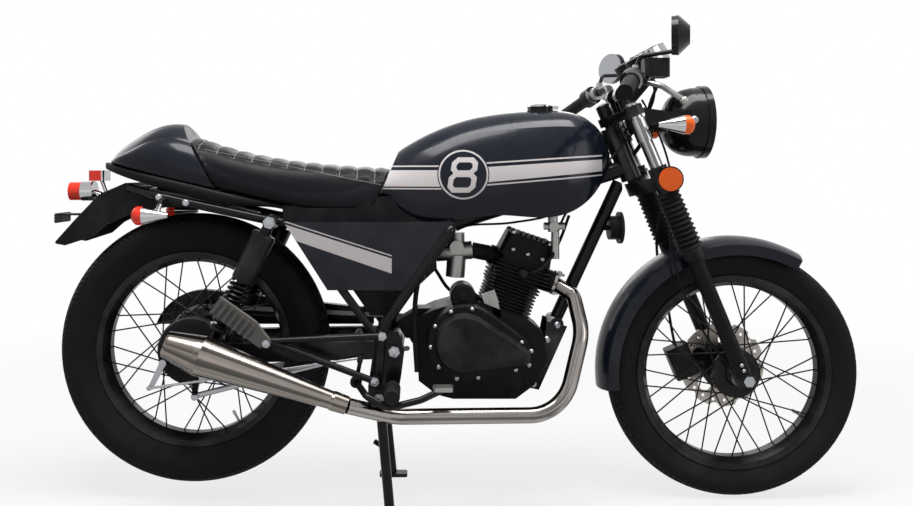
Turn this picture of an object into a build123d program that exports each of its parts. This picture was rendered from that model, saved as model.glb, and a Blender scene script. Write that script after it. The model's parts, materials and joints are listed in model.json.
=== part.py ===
from build123d import *
import os
from math import sin, cos, radians

# A single-cylinder cafe racer motorcycle on its centre stand. Millimetres, +X forward, +Y left, +Z up.
# The origin is on the floor, under the middle of the machine's box.

os.makedirs("parts", exist_ok=True)

# Driving dimensions
WHEELBASE = 1340.0
REAR_AXLE_X = -654.8
REAR_AXLE_Z = 370.0
REAR_TYRE_R = 335.0
REAR_TYRE_HALF = 59.0
FRONT_TYRE_R = 310.5
FRONT_TYRE_HALF = 45.0
RIM_INNER_R = 214.0
RIM_SEAT_R = 232.0
RIM_FLANGE_R = 241.0
RAKE = 22.6
HEAD_FORWARD = 1061.8
HEAD_UP = 863.0
FORK_HALF = 95.0
ARM_INNER = 88.5
ARM_OUTER = 107.0
FRAME_HALF = 121.0
PLATE_THICK = 6.0
PIVOT_FORWARD = 498.0
PIVOT_UP = 384.0
CYLINDER_TILT = 19.0
GAP = 0.5


def P(forward, left, up):
    """A point of the machine; forward is measured from the rear axle."""
    return Vector(REAR_AXLE_X + forward, left, up)


def side_plane(left=0.0, forward=0.0, up=0.0):
    """Plane seen from the right: its x is forward, its y is up, its normal is -Y."""
    return Plane(origin=P(forward, left, up), x_dir=(1, 0, 0), z_dir=(0, -1, 0))


def cross_plane(forward):
    """Plane across the machine: its x is left, its y is up, its normal is forward."""
    return Plane(origin=P(forward, 0, 0), x_dir=(0, 1, 0), z_dir=(1, 0, 0))


def wheel_plane(axle):
    """Plane through a wheel's axle: its x is radial, its y runs along the axle."""
    return Plane(origin=axle, x_dir=(1, 0, 0), z_dir=(0, 0, 1))


REAR_AXLE = P(0, 0, REAR_AXLE_Z)
FRONT_AXLE = P(WHEELBASE, 0, FRONT_TYRE_R)
STEER = Plane(
    origin=P(HEAD_FORWARD, 0, HEAD_UP),
    x_dir=(cos(radians(RAKE)), 0, sin(radians(RAKE))),
    z_dir=(-sin(radians(RAKE)), 0, cos(radians(RAKE))),
)
CYLINDER = Plane(
    origin=P(767, 0, 467),
    x_dir=(cos(radians(CYLINDER_TILT)), 0, -sin(radians(CYLINDER_TILT))),
    z_dir=(sin(radians(CYLINDER_TILT)), 0, cos(radians(CYLINDER_TILT))),
)


def S(ahead, left, along):
    """A point in the steering head's own frame: ahead of the steering axis, left, along the axis."""
    return STEER.from_local_coords(Vector(ahead, left, along))


FORK_AHEAD = STEER.to_local_coords(FRONT_AXLE).X
AXLE_DOWN = STEER.to_local_coords(FRONT_AXLE).Z


def rod(start, end, radius):
    """Round bar between two points, added to the open part."""
    with BuildSketch(Plane(origin=start, z_dir=end - start)) as section:
        Circle(radius)
    extrude(section.sketch, amount=(end - start).length)


def bent_rod(points, radius, bends):
    """Round bar along straight runs joined by tangent arcs, added to the open part."""
    with BuildLine() as route:
        FilletPolyline(*points, radius=bends)
    with BuildSketch(Plane(origin=route.line @ 0, z_dir=route.line % 0)) as section:
        Circle(radius)
    sweep(section.sketch, path=route.line)


def plate(outline, left, thickness):
    """Flat plate from an outline of (forward, up) points, its right face at left - thickness / 2."""
    with BuildSketch(side_plane(left + thickness / 2)) as section:
        with BuildLine():
            Polyline(*outline, close=True)
        make_face()
    extrude(section.sketch, amount=thickness)


def hull_face(left, circles, shrink):
    """Face wrapped round circles of (forward, up, radius), each radius less by shrink."""
    with BuildSketch(side_plane(left)) as section:
        for forward, up, radius in circles:
            with Locations((forward, up)):
                Circle(radius - shrink)
        if len(circles) > 1:
            make_hull()
    return section.sketch


def cover(near, far, circles, shrink=0.0):
    """Cover from one left value to another, wrapped round circles and narrower by shrink at far."""
    loft([hull_face(near, circles, 0), hull_face(far, circles, shrink)], ruled=True)


def crowned_section(forward, top, bottom, half, shoulder, drop, belt):
    """Section across the machine: flat bottom, bulging sides and an arched top."""
    shoulder_up = top - drop * half
    belt_up = bottom + belt * (shoulder_up - bottom)
    with BuildSketch(cross_plane(forward)) as section:
        with BuildLine():
            Line((-0.93 * half, bottom), (0.93 * half, bottom))
            ThreePointArc((0.93 * half, bottom), (half, belt_up), (shoulder * half, shoulder_up))
            ThreePointArc((shoulder * half, shoulder_up), (0, top), (-shoulder * half, shoulder_up))
            ThreePointArc((-shoulder * half, shoulder_up), (-half, belt_up), (-0.93 * half, bottom))
        make_face()
    return section.sketch


def slanted_plane(low, high):
    """Plane across the machine through two (forward, up) points, its normal to the front and down."""
    run = P(high[0], 0, high[1]) - P(low[0], 0, low[1])
    return Plane(origin=P(low[0], 0, low[1]), x_dir=(0, 1, 0), z_dir=(run.Z, 0, -run.X))


def save(piece, name):
    """Label a finished piece and write its file."""
    piece.part.label = name
    export_step(piece.part, "parts/" + name + ".step")


# Wheels: tyre, then rim, spokes and hub in one piece


def tyre_section(axle, outer, half, seat_half):
    """Half-round tyre section between the rim's flanges."""
    shoulder = outer - 0.30 * half
    with BuildSketch(wheel_plane(axle)) as section:
        with BuildLine():
            Polyline((RIM_FLANGE_R, -seat_half), (RIM_SEAT_R, -seat_half), (RIM_SEAT_R, seat_half),
                     (RIM_FLANGE_R, seat_half))
            ThreePointArc((RIM_FLANGE_R, seat_half), (RIM_FLANGE_R + 0.45 * (outer - RIM_FLANGE_R), half),
                          (shoulder, 0.86 * half))
            ThreePointArc((shoulder, 0.86 * half), (outer, 0), (shoulder, -0.86 * half))
            ThreePointArc((shoulder, -0.86 * half), (RIM_FLANGE_R + 0.45 * (outer - RIM_FLANGE_R), -half),
                          (RIM_FLANGE_R, -seat_half))
        make_face()
    return section.sketch


def rim_section(axle, seat_half):
    """Dropped-centre steel rim with a flange at each edge."""
    with BuildSketch(wheel_plane(axle)) as section:
        with BuildLine():
            Polyline(
                (RIM_INNER_R, -12), (RIM_INNER_R, 12), (RIM_INNER_R + 12, seat_half + 4),
                (RIM_FLANGE_R, seat_half + 4), (RIM_FLANGE_R, seat_half), (RIM_SEAT_R, seat_half),
                (RIM_SEAT_R, -seat_half), (RIM_FLANGE_R, -seat_half), (RIM_FLANGE_R, -seat_half - 4),
                (RIM_INNER_R + 12, -seat_half - 4), close=True)
        make_face()
    return section.sketch


SPOKES_A_SIDE = 18
SPOKE_R = 1.8
SPOKE_LEAN = 60.0


def spoke_places(axle, flange_r, flange_half):
    """Where each spoke starts and how it points, and its length, for both flanges."""
    places = []
    for side in (1, -1):
        for number in range(SPOKES_A_SIDE):
            at_hub = number * 360 / SPOKES_A_SIDE + (10 if side < 0 else 0)
            lean = SPOKE_LEAN if number % 2 else -SPOKE_LEAN
            at_rim = at_hub + lean
            start = axle + Vector(flange_r * cos(radians(at_hub)), side * flange_half,
                                  flange_r * sin(radians(at_hub)))
            reach = RIM_INNER_R + 6
            end = axle + Vector(reach * cos(radians(at_rim)), side * 7, reach * sin(radians(at_rim)))
            places.append((Plane(origin=start, z_dir=end - start).location, (end - start).length))
    return places


def add_spokes(places):
    """Round spokes of one length, added to the open part."""
    with Locations(*[place for place, length in places]):
        Cylinder(SPOKE_R, places[0][1], align=(Align.CENTER, Align.CENTER, Align.MIN))


def turned(axle, outline):
    """Solid of revolution about a wheel's axle from (radius, left) points, added to the open part."""
    with BuildSketch(wheel_plane(axle)) as section:
        with BuildLine():
            Polyline(*outline, close=True)
        make_face()
    revolve(section.sketch, axis=Axis(axle, (0, 1, 0)))


REAR_SEAT_HALF = 33.0
FRONT_SEAT_HALF = 26.0
AXLE_R = 8.0
AXLE_BORE_R = 8.3

with BuildPart() as rear_tyre:
    revolve(tyre_section(REAR_AXLE, REAR_TYRE_R, REAR_TYRE_HALF, REAR_SEAT_HALF),
            axis=Axis(REAR_AXLE, (0, 1, 0)))
save(rear_tyre, "rear_tyre")

with BuildPart() as front_tyre:
    revolve(tyre_section(FRONT_AXLE, FRONT_TYRE_R, FRONT_TYRE_HALF, FRONT_SEAT_HALF),
            axis=Axis(FRONT_AXLE, (0, 1, 0)))
save(front_tyre, "front_tyre")

# Rear hub: a brake drum open to the right, spoke flanges at each side, the sprocket on the left
SPROCKET_R = 80.0
CHAIN_LEFT = 78.0
with BuildPart() as rear_wheel:
    revolve(rim_section(REAR_AXLE, REAR_SEAT_HALF), axis=Axis(REAR_AXLE, (0, 1, 0)))
    turned(REAR_AXLE, [(AXLE_BORE_R, -30), (66, -30), (66, -56), (84, -56), (84, -44), (74, -38), (74, 30),
                       (84, 36), (84, 44), (60, 48), (40, 58), (40, 75), (AXLE_BORE_R, 75)])
    add_spokes(spoke_places(REAR_AXLE, 78, 40))
    with BuildSketch(side_plane(CHAIN_LEFT + 3, 0, REAR_AXLE_Z)):
        Circle(SPROCKET_R)
        with PolarLocations(SPROCKET_R + 1, 40):
            Circle(4.2, mode=Mode.SUBTRACT)
        with PolarLocations(54, 6):
            Circle(9, mode=Mode.SUBTRACT)
        Circle(AXLE_BORE_R, mode=Mode.SUBTRACT)
    extrude(amount=6)
save(rear_wheel, "rear_wheel")

with BuildPart() as front_wheel:
    revolve(rim_section(FRONT_AXLE, FRONT_SEAT_HALF), axis=Axis(FRONT_AXLE, (0, 1, 0)))
    turned(FRONT_AXLE, [(AXLE_BORE_R, -54), (26, -54), (30, -44), (60, -40), (60, -30), (30, -24), (30, 26),
                        (60, 32), (60, 40), (46, 44), (46, 56), (AXLE_BORE_R, 56)])
    add_spokes(spoke_places(FRONT_AXLE, 54, 35))
save(front_wheel, "front_wheel")

# Front disc with a waved edge
DISC_LEFT = 58.0
with BuildPart() as front_disc:
    with BuildSketch(side_plane(DISC_LEFT + 2, WHEELBASE, FRONT_TYRE_R)):
        Circle(108)
        with PolarLocations(113, 10, start_angle=8):
            Circle(14, mode=Mode.SUBTRACT)
        with PolarLocations(66, 5, start_angle=12):
            Circle(17, mode=Mode.SUBTRACT)
        with PolarLocations(92, 20, start_angle=4):
            Circle(4, mode=Mode.SUBTRACT)
        Circle(30, mode=Mode.SUBTRACT)
    extrude(amount=4)
    with BuildSketch(side_plane(DISC_LEFT + 6, WHEELBASE, FRONT_TYRE_R)):
        Circle(46)
        Circle(20, mode=Mode.SUBTRACT)
    extrude(amount=4)
save(front_disc, "front_disc")

# Axles, each with a nut at both ends
REAR_AXLE_HALF = 118.0
FRONT_AXLE_HALF = 116.0
with BuildPart() as rear_axle:
    rod(P(0, -REAR_AXLE_HALF, REAR_AXLE_Z), P(0, REAR_AXLE_HALF, REAR_AXLE_Z), AXLE_R)
    rod(P(0, 82, REAR_AXLE_Z), P(0, 88, REAR_AXLE_Z), 13)
    for side in (1, -1):
        with BuildSketch(side_plane(side * (ARM_OUTER + 6.5) + 6, 0, REAR_AXLE_Z)):
            RegularPolygon(14, 6)
        extrude(amount=12)
save(rear_axle, "rear_axle")

with BuildPart() as front_axle:
    rod(P(WHEELBASE, -FRONT_AXLE_HALF, FRONT_TYRE_R), P(WHEELBASE, FRONT_AXLE_HALF, FRONT_TYRE_R), AXLE_R)
    rod(P(WHEELBASE, 57, FRONT_TYRE_R), P(WHEELBASE, 75.5, FRONT_TYRE_R), 13)
    rod(P(WHEELBASE, -75.5, FRONT_TYRE_R), P(WHEELBASE, -55, FRONT_TYRE_R), 25)
    for side in (1, -1):
        with BuildSketch(side_plane(side * 119 + 5, WHEELBASE, FRONT_TYRE_R)):
            RegularPolygon(14, 6)
        extrude(amount=10)
save(front_axle, "front_axle")

# Frame: steering head with its spine, the down tube with the front engine plates
SPINE_R = 21.0
SPINE_FRONT = P(1066, 0, 816)
SPINE_REAR = P(632, 0, 677)
HEAD_TUBE_R = 25.0
STEM_R = 12.0
HEAD_TUBE = (-78.0, 62.0)
with BuildPart() as frame_spine:
    rod(S(0, 0, HEAD_TUBE[0]), S(0, 0, HEAD_TUBE[1]), HEAD_TUBE_R)
    rod(SPINE_FRONT, SPINE_REAR, SPINE_R)
    rod(P(632, -101, 677), P(632, 101, 677), 14)
    plate([(1040, 838), (1056, 792), (925, 752), (925, 786)], 0, 8)
    with BuildSketch(Plane(origin=S(0, 0, HEAD_TUBE[0] - 1), z_dir=STEER.z_dir)):
        Circle(STEM_R + 0.3)
    extrude(amount=HEAD_TUBE[1] - HEAD_TUBE[0] + 2, mode=Mode.SUBTRACT)
save(frame_spine, "frame_spine")

DOWN_TUBE_TOP = P(1060, 0, 782)
DOWN_TUBE_FOOT = P(895, 0, 427)
FRONT_PLATE = [(874, 440), (922, 428), (852, 272), (782, 286), (802, 318), (866, 400)]
with BuildPart() as down_tube:
    rod(DOWN_TUBE_TOP, DOWN_TUBE_FOOT, 16)
    rod(P(897, -42, 432), P(897, 42, 432), 17)
    for side in (1, -1):
        plate(FRONT_PLATE, side * 44, 5)
    add(frame_spine.part, mode=Mode.SUBTRACT)
    with BuildSketch(Plane(origin=S(0, 0, HEAD_TUBE[0] - 30), z_dir=STEER.z_dir)):
        Circle(34)
    extrude(amount=30, mode=Mode.SUBTRACT)
save(down_tube, "down_tube")

# Rear frame: on each side the seat tube, the stay behind it and the footrest plate
PLATE_OUTLINE = [(452, 436), (508, 430), (522, 385), (514, 322), (500, 250), (436, 250), (436, 300), (446, 370)]
STAND_FORWARD = 462.0
STAND_UP = 272.0
STAND_BORE_R = 8.3
with BuildPart() as rear_frame:
    for side in (1, -1):
        bent_rod([P(632, side * 101, 677), P(632, side * FRAME_HALF, 670), P(470, side * FRAME_HALF, 440),
                  P(456, side * FRAME_HALF, 300)], 13, [10, 120])
        rod(P(262, side * 103, 676), P(466, side * FRAME_HALF, 404), 10)
        plate(PLATE_OUTLINE, side * FRAME_HALF, PLATE_THICK)
        rod(P(PIVOT_FORWARD, side * 108, PIVOT_UP), P(PIVOT_FORWARD, side * 134, PIVOT_UP), 15)
    rod(P(452, -120, 318), P(452, 120, 318), 12)
    rod(P(PIVOT_FORWARD, -116.5, PIVOT_UP), P(PIVOT_FORWARD, 116.5, PIVOT_UP), 7.7)
    for side in (1, -1):
        with BuildSketch(side_plane(side * FRAME_HALF + PLATE_THICK, STAND_FORWARD, STAND_UP)):
            Circle(STAND_BORE_R)
        extrude(amount=2 * PLATE_THICK, mode=Mode.SUBTRACT)
    add(frame_spine.part, mode=Mode.SUBTRACT)
save(rear_frame, "rear_frame")

# Seat rails: two tubes from the rear frame to the tail, closed by a cross tube
RAIL_HALF = 99.0
with BuildPart() as seat_rails:
    for side in (1, -1):
        bent_rod([P(610, side * RAIL_HALF, 672), P(300, side * RAIL_HALF, 678), P(190, side * RAIL_HALF, 694),
                  P(-70, side * RAIL_HALF, 750), P(-150, side * 62, 770)], 11, [200, 200, 60])
        with BuildSketch(side_plane(side * 110 + 9, 205, 689)):
            Circle(17)
        extrude(amount=18)
    rod(P(-128, -74, 764), P(-128, 74, 764), 10)
    rod(P(250, -99, 686), P(250, 99, 686), 9)
    add(frame_spine.part, mode=Mode.SUBTRACT)
    add(rear_frame.part, mode=Mode.SUBTRACT)
save(seat_rails, "seat_rails")

# Swingarm: two arms from the pivot tube to the axle, with slotted ends and a cross tube
with BuildPart() as swingarm:
    for side in (1, -1):
        middle = side * (ARM_INNER + ARM_OUTER) / 2
        with BuildSketch(side_plane(middle + (ARM_OUTER - ARM_INNER) / 2)):
            with BuildLine():
                Polyline((-38, 350), (-38, 388), (60, 396), (PIVOT_FORWARD, 404), (PIVOT_FORWARD + 14, 384),
                         (PIVOT_FORWARD, 362), (60, 350), close=True)
            make_face()
        extrude(amount=ARM_OUTER - ARM_INNER)
    rod(P(PIVOT_FORWARD, -ARM_OUTER, PIVOT_UP), P(PIVOT_FORWARD, ARM_OUTER, PIVOT_UP), 20)
    rod(P(402, -ARM_INNER - 2, 384), P(402, ARM_INNER + 2, 384), 16)
    with BuildSketch(side_plane(ARM_OUTER + 5, PIVOT_FORWARD, PIVOT_UP)):
        Circle(8)
    extrude(amount=2 * ARM_OUTER + 10, mode=Mode.SUBTRACT)
    with BuildSketch(side_plane(ARM_OUTER + 5, 0, REAR_AXLE_Z)):
        Circle(AXLE_R)
    extrude(amount=2 * ARM_OUTER + 10, mode=Mode.SUBTRACT)
    for side in (1, -1):
        rod(P(68, side * (ARM_OUTER - 1), 398), P(68, side * 117, 398), 11)
save(swingarm, "swingarm")

# Centre stand: pivot tube, two splayed legs with feet, a cross tube and a foot lever on the left
STAND_FOOT_FORWARD = 490.0
STAND_FOOT_HALF = 124.0
with BuildPart() as centre_stand:
    rod(P(STAND_FORWARD, -115.4, STAND_UP), P(STAND_FORWARD, 115.4, STAND_UP), 12)
    for side in (1, -1):
        rod(P(STAND_FORWARD, side * 100, STAND_UP), P(STAND_FOOT_FORWARD - 3, side * STAND_FOOT_HALF, 10), 12)
        with BuildSketch(Plane(origin=P(STAND_FOOT_FORWARD, side * STAND_FOOT_HALF, 0))):
            RectangleRounded(74, 32, 8)
        extrude(amount=9)
    rod(P(470, -106, 196), P(470, 106, 196), 10)
    bent_rod([P(484, 118, 60), P(470, 150, 62), P(438, 172, 74)], 7, [25])
    with BuildSketch(side_plane(130, STAND_FORWARD, STAND_UP)):
        Circle(STAND_BORE_R)
    extrude(amount=260, mode=Mode.SUBTRACT)
with BuildPart() as stand_pivot:
    rod(P(STAND_FORWARD, -128, STAND_UP), P(STAND_FORWARD, 128, STAND_UP), 8)
    for side in (1, -1):
        with BuildSketch(side_plane(side * 128.5 + 4, STAND_FORWARD, STAND_UP)):
            RegularPolygon(13, 6)
        extrude(amount=8)
save(centre_stand, "centre_stand")
save(stand_pivot, "stand_pivot")

# Engine: crankcase with its covers, finned barrel, finned head with the rocker cover
CASE_OUTLINE = [(548, 452), (556, 300), (600, 266), (640, 256), (792, 256), (838, 290), (868, 350), (858, 420),
                (826, 446), (706, 492), (640, 486), (596, 474)]
with BuildPart() as engine_case:
    plate(CASE_OUTLINE, 0, 140)
    cover(-69, -121, [(668, 400, 92), (792, 372, 40)], 3)
    cover(-120, -146, [(664, 402, 72), (800, 372, 24)], 9)
    cover(69, 119, [(690, 400, 74), (574, 392, 44)], 2)
    cover(118, 134, [(690, 400, 60)], 6)
    with BuildSketch(side_plane(-10, 664, 506)):
        Circle(31)
    extrude(amount=72)
    rod(P(664, -40, 506), P(700, -30, 470), 26)
    plate([(592, 470), (556, 470), (500, 436), (524, 396), (566, 396)], 0, 60)
    with BuildSketch(side_plane(40, PIVOT_FORWARD, PIVOT_UP)):
        Circle(26)
    extrude(amount=80, mode=Mode.SUBTRACT)
    add(down_tube.part, mode=Mode.SUBTRACT)
save(engine_case, "engine_case")

FIN_PITCH = 8.4
BARREL_FINS = 9
BARREL_HEIGHT = 76.0
with BuildPart() as cylinder_barrel:
    with BuildSketch(CYLINDER.offset(-30)):
        RectangleRounded(96, 100, 22)
    extrude(amount=30 + BARREL_HEIGHT)
    for number in range(BARREL_FINS):
        with BuildSketch(CYLINDER.offset(2 + number * FIN_PITCH)):
            RectangleRounded(128 if number < 7 else 136, 134, 20)
        extrude(amount=2.8)
    add(engine_case.part, mode=Mode.SUBTRACT)
save(cylinder_barrel, "cylinder_barrel")

HEAD_FINS = 5
HEAD_HEIGHT = 56.0
COVER_HEIGHT = 58.0
with BuildPart() as cylinder_head:
    with BuildSketch(CYLINDER.offset(BARREL_HEIGHT + GAP)):
        with Locations((6, 0)):
            RectangleRounded(118, 108, 16)
    extrude(amount=HEAD_HEIGHT)
    for number in range(HEAD_FINS):
        with BuildSketch(CYLINDER.offset(BARREL_HEIGHT + 3 + number * 9.2)):
            with Locations((10, 0)):
                RectangleRounded(158 - 3 * number, 140 - 4 * number, 22)
        extrude(amount=3.2)
    with BuildSketch(CYLINDER.offset(BARREL_HEIGHT + HEAD_HEIGHT)):
        with Locations((6, 0)):
            RectangleRounded(136, 112, 18)
    with BuildSketch(CYLINDER.offset(BARREL_HEIGHT + HEAD_HEIGHT + COVER_HEIGHT)):
        with Locations((6, 0)):
            RectangleRounded(118, 94, 18)
    loft(ruled=True)
    for number in range(7):
        with BuildSketch(CYLINDER.offset(BARREL_HEIGHT + HEAD_HEIGHT + COVER_HEIGHT - 12)):
            with Locations((-34 + number * 13.5, 0)):
                RectangleRounded(4.5, 84, 2)
        extrude(amount=20)
    with BuildSketch(Plane(origin=CYLINDER.from_local_coords(Vector(-52, 0, 118)), z_dir=-CYLINDER.x_dir)):
        Circle(24)
    extrude(amount=24)
    with BuildSketch(Plane(origin=CYLINDER.from_local_coords(Vector(60, -22, 104)), z_dir=CYLINDER.x_dir)):
        Circle(27)
    extrude(amount=32)
save(cylinder_head, "cylinder_head")

# Carburettor behind the head, with its inlet rubber and float bowl
PORT = CYLINDER.from_local_coords(Vector(-76.5, 0, 118))
with BuildPart() as carburettor:
    rod(PORT, P(690, 0, 612), 20)
    rod(P(690, 0, 612), P(600, 0, 606), 23)
    rod(P(652, 0, 585), P(652, 0, 656), 20)
    rod(P(648, 0, 545), P(652, 0, 600), 24)
    with BuildSketch(side_plane(44, 650, 622)):
        Circle(17)
    extrude(amount=88)
    add(cylinder_head.part, mode=Mode.SUBTRACT)
save(carburettor, "carburettor")

# Closed box between the side panels: air filter above, battery below
with BuildPart() as air_box:
    plate([(300, 664), (594, 664), (600, 575), (520, 500), (476, 462), (440, 462)], 0, 176)
    add(carburettor.part, mode=Mode.SUBTRACT)
    add(rear_frame.part, mode=Mode.SUBTRACT)
save(air_box, "air_box")

# Exhaust: header pipe round the front of the engine and along the right side, then a reverse-cone silencer
HEADER_R = 18.5
PORT_OUT = CYLINDER.from_local_coords(Vector(92.5, -22, 104))
HEADER_ROUTE = [PORT_OUT, P(936, -50, 506), P(948, -100, 424), P(894, -142, 238), P(500, -150, 236),
                P(392, -186, 272)]
with BuildPart() as exhaust_header:
    bent_rod(HEADER_ROUTE, HEADER_R, [34, 120, 105, 110])
    rod(PORT_OUT, CYLINDER.from_local_coords(Vector(99, -22, 104)), 30)
    add(cylinder_head.part, mode=Mode.SUBTRACT)
save(exhaust_header, "exhaust_header")

MUFFLER_FRONT = P(391, -186.3, 272.5)
MUFFLER_REAR = P(-20, -204, 418)
MUFFLER_AXIS = (MUFFLER_REAR - MUFFLER_FRONT).normalized()
MUFFLER_LENGTH = (MUFFLER_REAR - MUFFLER_FRONT).length
MUFFLER_PLANE = Plane(origin=MUFFLER_FRONT, x_dir=MUFFLER_AXIS, z_dir=MUFFLER_AXIS.cross(Vector(0, 1, 0)))
MUFFLER_OUTLINE = [(0, 0), (0, 21), (34, 23), (40, 21), (60, 22), (MUFFLER_LENGTH - 98, 45),
                   (MUFFLER_LENGTH - 84, 46.5), (MUFFLER_LENGTH - 70, 44), (MUFFLER_LENGTH - 6, 31),
                   (MUFFLER_LENGTH, 29), (MUFFLER_LENGTH, 21), (MUFFLER_LENGTH - 50, 21),
                   (MUFFLER_LENGTH - 50, 0)]
with BuildPart() as muffler:
    with BuildSketch(MUFFLER_PLANE):
        with BuildLine():
            Polyline(*MUFFLER_OUTLINE, close=True)
        make_face()
    revolve(axis=Axis(MUFFLER_FRONT, MUFFLER_AXIS))
    add(exhaust_header.part, mode=Mode.SUBTRACT)
save(muffler, "muffler")

# Fuel tank: forward, top, bottom, half width at the belt
TANK_SECTIONS = [
    (430, 770, 709, 80),
    (540, 884, 701, 104),
    (650, 933, 694, 120),
    (780, 958, 704, 129),
    (900, 962, 706, 121),
    (965, 948, 740, 96),
    (1008, 914, 790, 62),
    (1029, 872, 836, 34),
]
TANK_REAR_LOW = (446, 712)
TANK_REAR_HIGH = (497, 836)
with BuildPart() as fuel_tank:
    loft([crowned_section(*row, 0.70, 0.36, 0.42) for row in TANK_SECTIONS])
    with BuildSketch(side_plane(28)):
        with BuildLine():
            Polyline((420, 640), (1060, 640), (1060, 842), (632, 716), (420, 716), close=True)
        make_face()
    extrude(amount=56, mode=Mode.SUBTRACT)
    split(bisect_by=slanted_plane(TANK_REAR_LOW, TANK_REAR_HIGH), keep=Keep.TOP)
    with BuildSketch(Plane(origin=P(862, 0, 950))):
        Circle(32)
    extrude(amount=22)
    add(frame_spine.part, mode=Mode.SUBTRACT)
save(fuel_tank, "fuel_tank")

# Seat pad between the tank and the tail cowl
SEAT_SECTIONS = [
    (0, 898, 784, 106),
    (110, 862, 759, 116),
    (230, 839, 731, 118),
    (350, 826, 704, 112),
    (505, 818, 716, 92),
]
COWL_SEAM_LOW = (62, 779)
COWL_SEAM_HIGH = (-25, 922)
with BuildPart() as seat_pad:
    loft([crowned_section(*row, 0.84, 0.16, 0.5) for row in SEAT_SECTIONS])
    split(bisect_by=slanted_plane(TANK_REAR_LOW, TANK_REAR_HIGH).offset(-1), keep=Keep.BOTTOM)
    split(bisect_by=slanted_plane(COWL_SEAM_LOW, COWL_SEAM_HIGH).offset(1), keep=Keep.TOP)
save(seat_pad, "seat_pad")

COWL_SECTIONS = [
    (80, 900, 767, 110),
    (-10, 922, 787, 111),
    (-60, 928, 798, 107),
    (-125, 906, 812, 94),
    (-175, 874, 824, 72),
    (-202, 852, 826, 42),
]
with BuildPart() as seat_cowl:
    loft([crowned_section(*row, 0.74, 0.36, 0.4) for row in COWL_SECTIONS])
    split(bisect_by=slanted_plane(COWL_SEAM_LOW, COWL_SEAM_HIGH), keep=Keep.BOTTOM)
save(seat_cowl, "seat_cowl")

# Tail tray under the cowl and the seat's rear half
TRAY_SECTIONS = [
    (236, 728.5, 717, 101),
    (130, 753, 727, 110),
    (20, 779, 746, 112),
    (-60, 797, 768, 108),
    (-130, 812, 788, 95),
    (-178, 823.5, 803, 74),
    (-216, 832, 816, 42),
]
with BuildPart() as tail_tray:
    loft([crowned_section(forward, top, bottom, half, 0.96, 0.03, 0.5)
          for forward, top, bottom, half in TRAY_SECTIONS])
    add(seat_pad.part, mode=Mode.SUBTRACT)
    add(seat_cowl.part, mode=Mode.SUBTRACT)
    add(seat_rails.part, mode=Mode.SUBTRACT)
save(tail_tray, "tail_tray")

# Side panels, one each side, hiding the air box
PANEL_OUTLINE = [(236, 690), (640, 690), (560, 560), (520, 528), (340, 528)]
with BuildPart() as side_panels:
    for side in (1, -1):
        plate(PANEL_OUTLINE, side * 123, 5)
    add(seat_rails.part, mode=Mode.SUBTRACT)
    add(rear_frame.part, mode=Mode.SUBTRACT)
save(side_panels, "side_panels")

# Rear fender with its plate bracket
FENDER_TOP = [(150, 703), (60, 727), (-20, 741), (-110, 761), (-158, 782), (-223, 754), (-284, 690), (-334, 634)]
FENDER_EDGE = [(-306, 629), (-238, 651), (-206, 679), (-140, 710), (-60, 722), (40, 720), (144, 692)]
FENDER_HALF = 66.0
with BuildPart() as rear_fender:
    with BuildSketch(side_plane(FENDER_HALF)):
        with BuildLine():
            FilletPolyline(*FENDER_TOP, *FENDER_EDGE, radius=4, close=True)
        make_face()
    extrude(amount=2 * FENDER_HALF)
    with BuildSketch(side_plane(FENDER_HALF - 2.5)):
        with BuildLine():
            Polyline((160, 695), (60, 722), (-20, 736), (-110, 756), (-158, 776.5), (-221, 749), (-282, 686),
                     (-328, 637), (-330, 560), (160, 560), close=True)
        make_face()
    extrude(amount=2 * FENDER_HALF - 5, mode=Mode.SUBTRACT)
    with BuildSketch(Plane(origin=P(-286, 0, 700))):
        with BuildLine():
            Polyline((0, -22), (-52, -26), (-52, 26), (0, 22), close=True)
        make_face()
    extrude(amount=4)
    with BuildSketch(Plane(origin=P(-338, 0, 694), x_dir=(0, 1, 0), z_dir=(-1, 0, 0))):
        RectangleRounded(92, 24, 5)
    extrude(amount=3)
    with BuildSketch(Plane(origin=P(-342, 0, 694), x_dir=(0, 1, 0), z_dir=(1, 0, 0))):
        with GridLocations(70, 1, 2, 1):
            Circle(3.2)
    extrude(amount=6, mode=Mode.SUBTRACT)
    add(seat_rails.part, mode=Mode.SUBTRACT)
save(rear_fender, "rear_fender")

# Tail lamp on a stalk, with a small upper lamp
with BuildPart() as tail_lamp:
    rod(P(-288, 0, 760), P(-258, 0, 760), 25)
    rod(P(-318, 0, 760), P(-288, 0, 760), 23)
    rod(P(-262, 0, 757), P(-226, 0, 743), 9)
    with BuildSketch(Plane(origin=P(-246, 0, 786))):
        RectangleRounded(38, 54, 6)
    extrude(amount=26)
    rod(P(-242, 0, 790), P(-226, 0, 748), 5)
    add(rear_fender.part, mode=Mode.SUBTRACT)
save(tail_lamp, "tail_lamp")

# Bullet indicators: distance of the cone's tip, the cone's mouth and the lens's nose along the machine
INDICATOR_HALF = 138.0


def bullet(tip, mouth, nose, up):
    """Cone with a domed lens, one on each side, added to the open part."""
    for side in (1, -1):
        toward = 1 if nose > mouth else -1
        with BuildSketch(side_plane(side * INDICATOR_HALF)) as outline:
            with BuildLine():
                Polyline((tip, up), (tip, up + 6), (mouth, up + 22), (nose - toward * 12, up + 22))
                ThreePointArc((nose - toward * 12, up + 22), (nose - toward * 3.5, up + 15), (nose, up + 3))
                Polyline((nose, up + 3), (nose, up), (tip, up))
            make_face()
        revolve(outline.sketch, axis=Axis(P(0, side * INDICATOR_HALF, up), (1, 0, 0)))


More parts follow.
